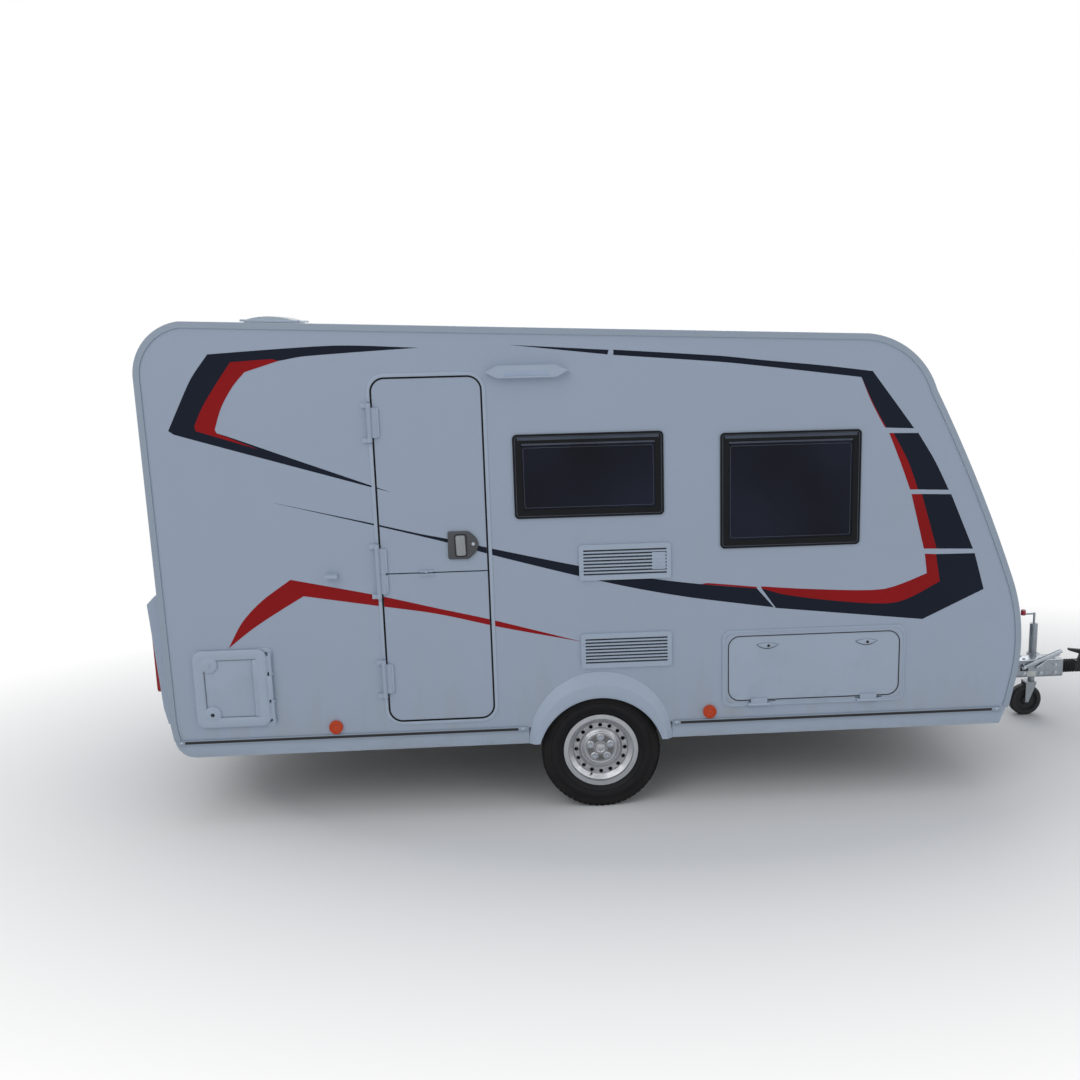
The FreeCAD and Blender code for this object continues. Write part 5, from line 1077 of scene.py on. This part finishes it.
class CARAVAN_OT_hatches(bpy.types.Operator):
    """Cover of the service door; bead, lip and latches of the locker door; lid locks"""
    bl_idname = "caravan.hatches"
    bl_label = "Hatches"

    def execute(self, context):
        self.service()
        self.locker()
        lo, hi = box_mm("gas_locker_lid")
        piece("gas_lid_locks", "plastic_grey",
              [(button(28, (14, 12), (20, 8), (22, 0)), FORWARD, turn(-4, "Y"),
                shift(hi.x - 6, y, lo.z + 70)) for y in (-480, 480)], "gas_locker_lid")
        return {"FINISHED"}

    @staticmethod
    def service():
        """Moulded cover over the leaf: broad raised rim, two bosses and a sloped right side."""
        x, z = SERVICE
        seat = on_wall(x, z, LEAF)
        bosses = [on_wall(-1960, height, LEAF) for height in (612, 874)]
        for place, word, finish in zip(bosses, ("lock", "knob"), ("rubber_black", "trim_white")):
            piece("service_door_" + word, finish,
                  [(button(24, (8.5, 16.5), (10, 13)), place)], "service_door")
        # Grey band inside the cover's rim: a painted shadow line
        piece("service_door_shadow_line", "shadow_line_grey",
              [(band(262, 299, 6, 3, 1.2, 0.4), on_wall(x, z, LEAF + 3.4))], "service_door")
        cover = [(plate(367, 404, 45, 3.5, 1, 10), seat, shift(y=UNWELDED)),
                 (band(367, 404, 45, 52, 13, 7, 10), seat),
                 (plate(60, 300, 10, 10, 4), turn(9, "Z"), on_wall(-1716, z, LEAF + 1)),
                 (plate(26, 126, 3, 6, 2.5), on_wall(-1663, z, 16.5))]
        cover += [(button(40, (36, 13.5), (42, 11), (45, 0)), place) for place in bosses]
        piece("service_door_cover", "trim_white", cover, "service_door")

    def locker(self):
        """Bead on the frame, lip that covers the leaf's gap, dark line, and two latches with a
        painted shadow under each.
        """
        seat = on_wall(*LOCKER, LEAF)
        piece("locker_frame_bead", "trim_white",
              [(band(950, 403, 60, 7, 3, 1, 8), seat, shift(z=-1))])
        lip = ring_sheet(916, 367, 26, 10, 10, 62)
        for middle in (-271, 289):
            gap = (middle - 70, middle + 70)
            split(lip, gap)
            clear(lip, (*gap, -math.inf, -100))
        piece("locker_door_lip", "body_white", [(raise_faces(lip, 1.8, 0.6), seat)],
              "locker_door")
        piece("locker_door_line", "rubber_black", [(band(899, 350, 63, 5.5, 2.2, 0.6, 10), seat)],
              "locker_door")
        places = (866, 1382)
        # The grey crescent under each latch reaches out below it only: a painted shadow
        for name, finish, sizes in (("locker_latches", "trim_white", (54, 18, 6, 2.5)),
                                    ("locker_latch_shadows", "plastic_grey", (58, 23, 2, 0))):
            piece(name, finish, [(self.crescent(*sizes), on_wall(x, 866, LEAF)) for x in places],
                  "locker_door")
        piece("locker_latch_locks", "rubber_black",
              [(button(20, (6.5, 3), (8, 0)), on_wall(x + 5, 861, LEAF + 5.5)) for x in places],
              "locker_door")

    @staticmethod
    def crescent(half, drop, depth, rim):
        """A shallow bowl outline under a slightly arched brow."""
        count, rise = 8, 9
        arc = [(step / count * half, 1 - (step / count) ** 2) for step in range(-count, count + 1)]
        bowl = [(x, -drop * share) for x, share in arc]
        brow = [(x, rise * share) for x, share in reversed(arc[1:-1])]
        return raise_faces(flat(bowl + brow), depth, rim)


class CARAVAN_OT_lamps(bpy.types.Operator):
    """Side reflectors, awning and front lamps, rear clusters, triangles and a blank plate"""
    bl_idname = "caravan.lamps"
    bl_label = "Lamps"

    def execute(self, context):
        seats = [on_wall(x, MARKERS_Z, overhang("side_marker_lamps"), side)
                 for x in MARKERS_X for side in SIDES]
        rings = ((7, 3), (9, 0.8), (13, 0.8), (15, 2), (19, 2), (21, 0))
        rims = ((30, 0), (30, 3.5), (34, 3), (35, 0))
        piece("marker_rings", "lens_amber", [(button(36, *rings), seat) for seat in seats])
        piece("marker_rims", "lens_amber", [(turned(36, *rims), seat) for seat in seats])
        lo, hi = box_mm("awning_lamp")
        glass = flat([(-115, -10), (115, -10), (100, 12), (-100, 12)], 4, 3)
        piece("awning_lamp_lens", "lens_clear",
              [(raise_faces(glass, 3, 1), shift((lo.x + hi.x) / 2, lo.y + 1.5, lo.z + 20))])
        self.clusters()
        self.rear()
        hi = box_mm("front_wall")[1]
        piece("front_position_lamps", "lens_clear",
              [(plate(100, 45, 12, 16, 4), FORWARD, turn(-9, "Y"), shift(hi.x - 26, y, 575))
               for y in (-900, 900)])
        return {"FINISHED"}

    @staticmethod
    def clusters():
        """Coloured fields on the rear lamps, as shares of their height."""
        lo, hi = box_mm("rear_lamps")
        height = hi.z - lo.z
        for word, foot, head in (("amber", 0.66, 0.94), ("red", 0.36, 0.62),
                                 ("clear", 0.06, 0.32)):
            z = lo.z + height * (foot + head) / 2
            piece("rear_lamp_%s_fields" % word, "lens_" + word,
                  [(plate(100, height * (head - foot), 12, 10, 3), REARWARD,
                    shift(lo.x + 3.5, side * (abs(lo.y) - 65), z)) for side in SIDES])

    @staticmethod
    def rear():
        """Red triangles and a blank number plate on the bumper, and the upper lamps."""
        bumper = box_mm("rear_bumper")[0].x
        z = 800
        lean = (REARWARD, turn(REAR_LEAN, "Y"))
        triangle = ((-78, -45), (78, -45), (0, 90))
        piece("rear_triangles", "lens_red",
              [(raise_faces(flat(triangle, 10, 4), 6, 2), *lean,
                shift(bumper + 29, side * 620, z)) for side in SIDES])
        piece("blank_number_plate", "plate_blank",
              [(plate(540, 140, 10, 6, 2), *lean, shift(bumper + 28, 0, z))])
        wall = box_mm("rear_wall")[0].x
        piece("rear_upper_lamps", "lens_red",
              [(plate(width, 26, 10, 14, 4), REARWARD, shift(wall + 2, y, 2270))
               for width, y in ((90, -880), (260, 0), (90, 880))])


class CARAVAN_OT_wheels(bpy.types.Operator):
    """Tread, sidewall ribs, bolts, painted shade behind the holes, valve and blank cap of both
    wheels
    """
    bl_idname = "caravan.wheels"
    bl_label = "Wheels"

    def execute(self, context):
        for side, word in ((RIGHT, "right"), (LEFT, "left")):
            seat = sided(side, shift(AXLE, -WHEEL_Y, HUB_Z))
            for name, finish, rows in (("tread_", "tyre_black", self.tread()),
                                       ("sidewall_ribs_", "tyre_black", self.ribs()),
                                       ("wheel_bolts_", "bright_steel", self.bolts()),
                                       ("wheel_bosses_", "cap_silver", self.bosses()),
                                       # A dark ring behind the holes: painted shade
                                       ("hole_shade_ring_", "black_metal", self.shield()),
                                       ("wheel_cap_", "cap_silver", self.cap()),
                                       ("wheel_valve_", "rubber_black", self.valve())):
                piece(name + word, finish, [(joined(rows), seat)], "wheel_" + word)
        return {"FINISHED"}

    @staticmethod
    def tread():
        """Rows of slanted blocks that stand just under the tyre's outer radius."""
        count = bpy.context.scene.caravan_sizes.tread_blocks
        reach = math.tau * TYRE_RADIUS / count * 0.40
        foot, head = TYRE_RADIUS - setting("tread_depth"), TYRE_RADIUS - 0.6
        rows = ((-66, 22, 10.8), (-40, 20, -8.4), (-13, 21, 6), (13, 21, -6), (40, 20, 8.4),
                (66, 22, -10.8))
        return [(brick(-reach, reach, -width / 2, width / 2, foot, head, 0), turn(slant, "Z"),
                 shift(y=y), turn(360.0 / count * (number + 0.5 * (row % 2)), "Y"))
                for row, (y, width, slant) in enumerate(rows) for number in range(count)]

    @staticmethod
    def ribs():
        """Two raised rings on each wall of the tyre."""
        return [(turned(96, (radius - 2.5, out - 4), (radius - 1.2, out + 0.8),
                        (radius + 1.2, out + 0.8), (radius + 2.5, out - 4)), sided(side, shift()))
                for side in SIDES for radius, out in ((222, 92.8), (262, 95.7))]

    @staticmethod
    def on_circle(build, out):
        """The shape at each bolt, out towards the wheel's outside."""
        return [(build(), shift(z=BOLT_CIRCLE), turn(360 / BOLTS * number, "Y"), shift(y=-out))
                for number in range(BOLTS)]

    def bolts(self):
        return self.on_circle(lambda: bolt(9.5, 16), 42.5)

    def bosses(self):
        """Raised seats of the bolts and the pressed ring round them."""
        ring = turned(64, (78, 36), (79, 41.5), (83, 42.5), (87, 40), (88, 34))
        return [(ring,)] + self.on_circle(lambda: button(28, (17, 4.5), (19, 3), (22, 0)), 38.2)

    @staticmethod
    def shield():
        """Dark ring behind the ring of holes: painted shade that makes the holes look dark."""
        return [(turned(64, (127.5, 20), (127.5, 22), (144, 22), (144, 20)),)]

    @staticmethod
    def cap():
        """Blank centre cap with a rolled edge."""
        return [(button(48, (16, 12), (19, 10.5), (22, 12.5), (26, 11.5), (29, 7), (30, 0)),
                 shift(y=-38))]

    @staticmethod
    def valve():
        return [(button(16, (3.5, 38), (4, 22), (6, 18), (6.5, 0)), turn(20, "X"),
                 shift(y=-25, z=158), turn(200, "Y"))]


class CARAVAN_OT_arches(bpy.types.Operator):
    """Moulded spats with a sloped outer band, a crease and a rolled lip at the mouth"""
    bl_idname = "caravan.arches"
    bl_label = "Arches"

    def execute(self, context):
        spats = piece("moulded_spats", "trim_white",
                      [(self.spat(), on_wall(0, 0, 0, side)) for side in SIDES], smooth=28.0)
        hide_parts("wheel_arches")
        return {"FINISHED"}

    @staticmethod
    def spat():
        """A section spun half round at unit size, then laid between the mouth and the rim."""
        section = ((0.0, -2), (0.0, 17), (0.02, 21.5), (0.06, 24), (0.12, 24.8), (0.50, 25),
                   (0.53, 24.2), (0.56, 22.5), (0.97, 4), (1.0, 2), (1.0, -2))
        bm = bmesh.new()
        verts = [bm.verts.new((1 + share, -out, 0)) for share, out in section]
        edges = [bm.edges.new(pair) for pair in zip(verts, verts[1:] + verts[:1])]
        bmesh.ops.spin(bm, geom=verts + edges, cent=(0, 0, 0), axis=(0, -1, 0), angle=math.pi,
                       steps=72)
        bmesh.ops.holes_fill(bm, edges=[edge for edge in bm.edges if edge.is_boundary])
        base, rim, mouth, half = 385, 371, 328, 314
        drop = (mouth ** 2 - half ** 2) ** 0.5
        first = math.atan2(drop, half)
        for vert in bm.verts:
            share = math.hypot(vert.co.x, vert.co.z) - 1
            angle = math.atan2(max(vert.co.z, 0.0), vert.co.x)
            lean = first + (math.pi - 2 * first) * angle / math.pi
            near = Vector((mouth * math.cos(lean), base - drop + mouth * math.sin(lean)))
            far = Vector((rim * math.cos(angle), base + rim * math.sin(angle)))
            vert.co.x, vert.co.z = near.lerp(far, share)
        return bm


class CARAVAN_OT_drawbar(bpy.types.Operator):
    """Fittings of the drawbar: bolts, brake lever with its strut, blank plate, crank knob"""
    bl_idname = "caravan.drawbar"
    bl_label = "Drawbar"

    def execute(self, context):
        lo, hi = box_mm("overrun_housing")
        radius = setting("bolt_radius")
        side_bolts = [(bolt(radius * 0.9, 9), sided(side, shift(lo.x + x, lo.y, lo.z + z)))
                      for x in (45, 150, 240) for z in (30, 80) for side in SIDES]
        top_bolts = [(bolt(radius * 0.8, 8), UPWARD, shift(lo.x + x, y, hi.z + 6))
                     for x in (50, 150, 240) for y in (-30, 30)]
        piece("housing_bolts", "bright_steel", side_bolts + top_bolts)
        self.lever()
        piece("blank_type_plate", "plate_blank",
              [(plate(58, 34, 3, 1.2, 0.4), shift(lo.x + 92, lo.y, lo.z + 26))])
        piece("housing_flange", "bright_steel",
              [(brick(lo.x + 4, hi.x - 4, lo.y - 7, hi.y + 7, hi.z, hi.z + 6, 2),)])
        lo, hi = box_mm("jockey_tube")
        piece("jockey_crank_knob", "knob_red",
              [(button(28, (10, 36), (15, 30), (15.5, 6), (12, 0)), UPWARD,
                shift(lo.x + 14, 105, hi.z - 34.5))])
        lo, hi = box_mm("jockey_clamp")
        bar = pipe([(hi.x - 10, hi.y - 20, lo.z + 30), (hi.x + 20, hi.y + 8, lo.z + 30),
                    (hi.x + 22, hi.y + 10, lo.z - 60)], 6)
        piece("jockey_clamp_lever", "bright_steel", [(bar,)])
        return {"FINISHED"}

    @staticmethod
    def strap(start, end, height, near, far):
        """A flat bar between two (x, z) points, from y near to y far."""
        (x0, z0), (x1, z1) = start, end
        bar = brick(0, math.hypot(x1 - x0, z1 - z0), near, far, -height / 2, height / 2, 1)
        return (bar, turn(-math.degrees(math.atan2(z1 - z0, x1 - x0)), "Y"), shift(x0, 0, z0))

    def lever(self):
        """Pressed brake lever with two cheeks and a web, and the gas strut under it."""
        lo, hi = box_mm("handbrake_lever")
        cheek, web, sunk = 22, 4, 8
        start, end = (lo.x + 10, lo.z + 12), (hi.x - 4, hi.z - 10)
        low_start, low_end = (start[0], start[1] - sunk), (end[0], end[1] - sunk)
        bars = piece("handbrake_lever_bars", "bright_steel", [
            self.strap(start, end, cheek, lo.y - 1, lo.y + 3),
            self.strap(start, end, cheek, hi.y - 1, hi.y + 3),
            self.strap(low_start, low_end, web, lo.y, hi.y),
            (drum(11, 10, 2, 20), shift(start[0] + 12, lo.y - 1, start[1] + 6)),
            (brick(lo.x + 4, lo.x + 55, hi.y, -51.5, lo.z - 10, lo.z + 36, 2),)])
        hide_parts("handbrake_lever")
        y = (lo.y + hi.y) / 2
        foot = Vector((lo.x + 105, y, lo.z + 14))
        knee = Vector((hi.x - 85, y, hi.z - 62))
        rod = [knee - Vector((20, 0, 9)), (hi.x - 12, y, hi.z - 34)]
        piece("handbrake_strut", "bright_steel", [(pipe([foot, knee], 7.5),), (pipe(rod, 4),)])
        piece("strut_pin", "bright_steel", [(drum(7, 16, 1, 16), shift(foot.x, -50.5, foot.z))])


class CARAVAN_OT_body_fittings(bpy.types.Operator):
    """Flange of the roof dome, rounded corners behind the skirt and the rear hand grips"""
    bl_idname = "caravan.body_fittings"
    bl_label = "Body fittings"

    def execute(self, context):
        lo, hi = box_mm("roof_vent")
        piece("roof_vent_flange", "trim_white",
              [(band(330, 330, 40, 30, 12, 4), UPWARD, turn(ROOF_FALL, "Y"),
                shift((lo.x + hi.x) / 2, (lo.y + hi.y) / 2, lo.z + 10))])
        corner = ((-66, 52), (-62, 26), (-49, -2), (-29, -24), (-3, -39), (28, -45), (52, -45),
                  (52, 40))
        piece("skirt_corner_mouldings", "skirt_white",
              [(raise_faces(flat(corner), 30, 6, 3), on_wall(-2100, 430, -28.5, side))
               for side in SIDES])
        seats = [shift(box_mm("rear_wall")[0].x + 6, y, 1640) for y in (-930, 930)]
        piece("rear_grab_handles", "trim_white",
              [(plate(60, 300, 28, 12, 5, 8), REARWARD, seat) for seat in seats])
        # Dark grey plate on the face of each grip: painted shade for its hollow
        piece("rear_grab_recess_shades", "plastic_grey",
              [(plate(26, 180, 12, 3, 1), REARWARD, shift(x=-11.5), seat) for seat in seats])
        return {"FINISHED"}


STEPS = (CARAVAN_OT_stage, CARAVAN_OT_finishes, CARAVAN_OT_stripes, CARAVAN_OT_rails,
         CARAVAN_OT_door, CARAVAN_OT_windows, CARAVAN_OT_vents, CARAVAN_OT_hatches,
         CARAVAN_OT_lamps, CARAVAN_OT_wheels, CARAVAN_OT_arches, CARAVAN_OT_drawbar,
         CARAVAN_OT_body_fittings)


class CARAVAN_PT_panel(bpy.types.Panel):
    """The settings, and the steps in order"""
    bl_idname = "CARAVAN_PT_panel"
    bl_label = "Travel caravan"
    bl_space_type = "VIEW_3D"
    bl_region_type = "UI"
    bl_category = "Caravan"

    def draw(self, context):
        layout = self.layout
        for group in (context.scene.caravan_colours, context.scene.caravan_sizes):
            for name in group.bl_rna.properties.keys():
                if name not in ("rna_type", "name"):
                    layout.prop(group, name)
        for step in STEPS:
            layout.operator(step.bl_idname)


CLASSES = (CaravanColours, CaravanSizes) + STEPS + (CARAVAN_PT_panel,)


def register():
    for item in CLASSES:
        bpy.utils.register_class(item)
    bpy.types.Scene.caravan_colours = bpy.props.PointerProperty(type=CaravanColours)
    bpy.types.Scene.caravan_sizes = bpy.props.PointerProperty(type=CaravanSizes)


def unregister():
    del bpy.types.Scene.caravan_sizes
    del bpy.types.Scene.caravan_colours
    for item in reversed(CLASSES):
        bpy.utils.unregister_class(item)


def main():
    register()
    for step in STEPS:
        group, name = step.bl_idname.split(".")
        getattr(getattr(bpy.ops, group), name)()


if __name__ == "__main__":
    main()
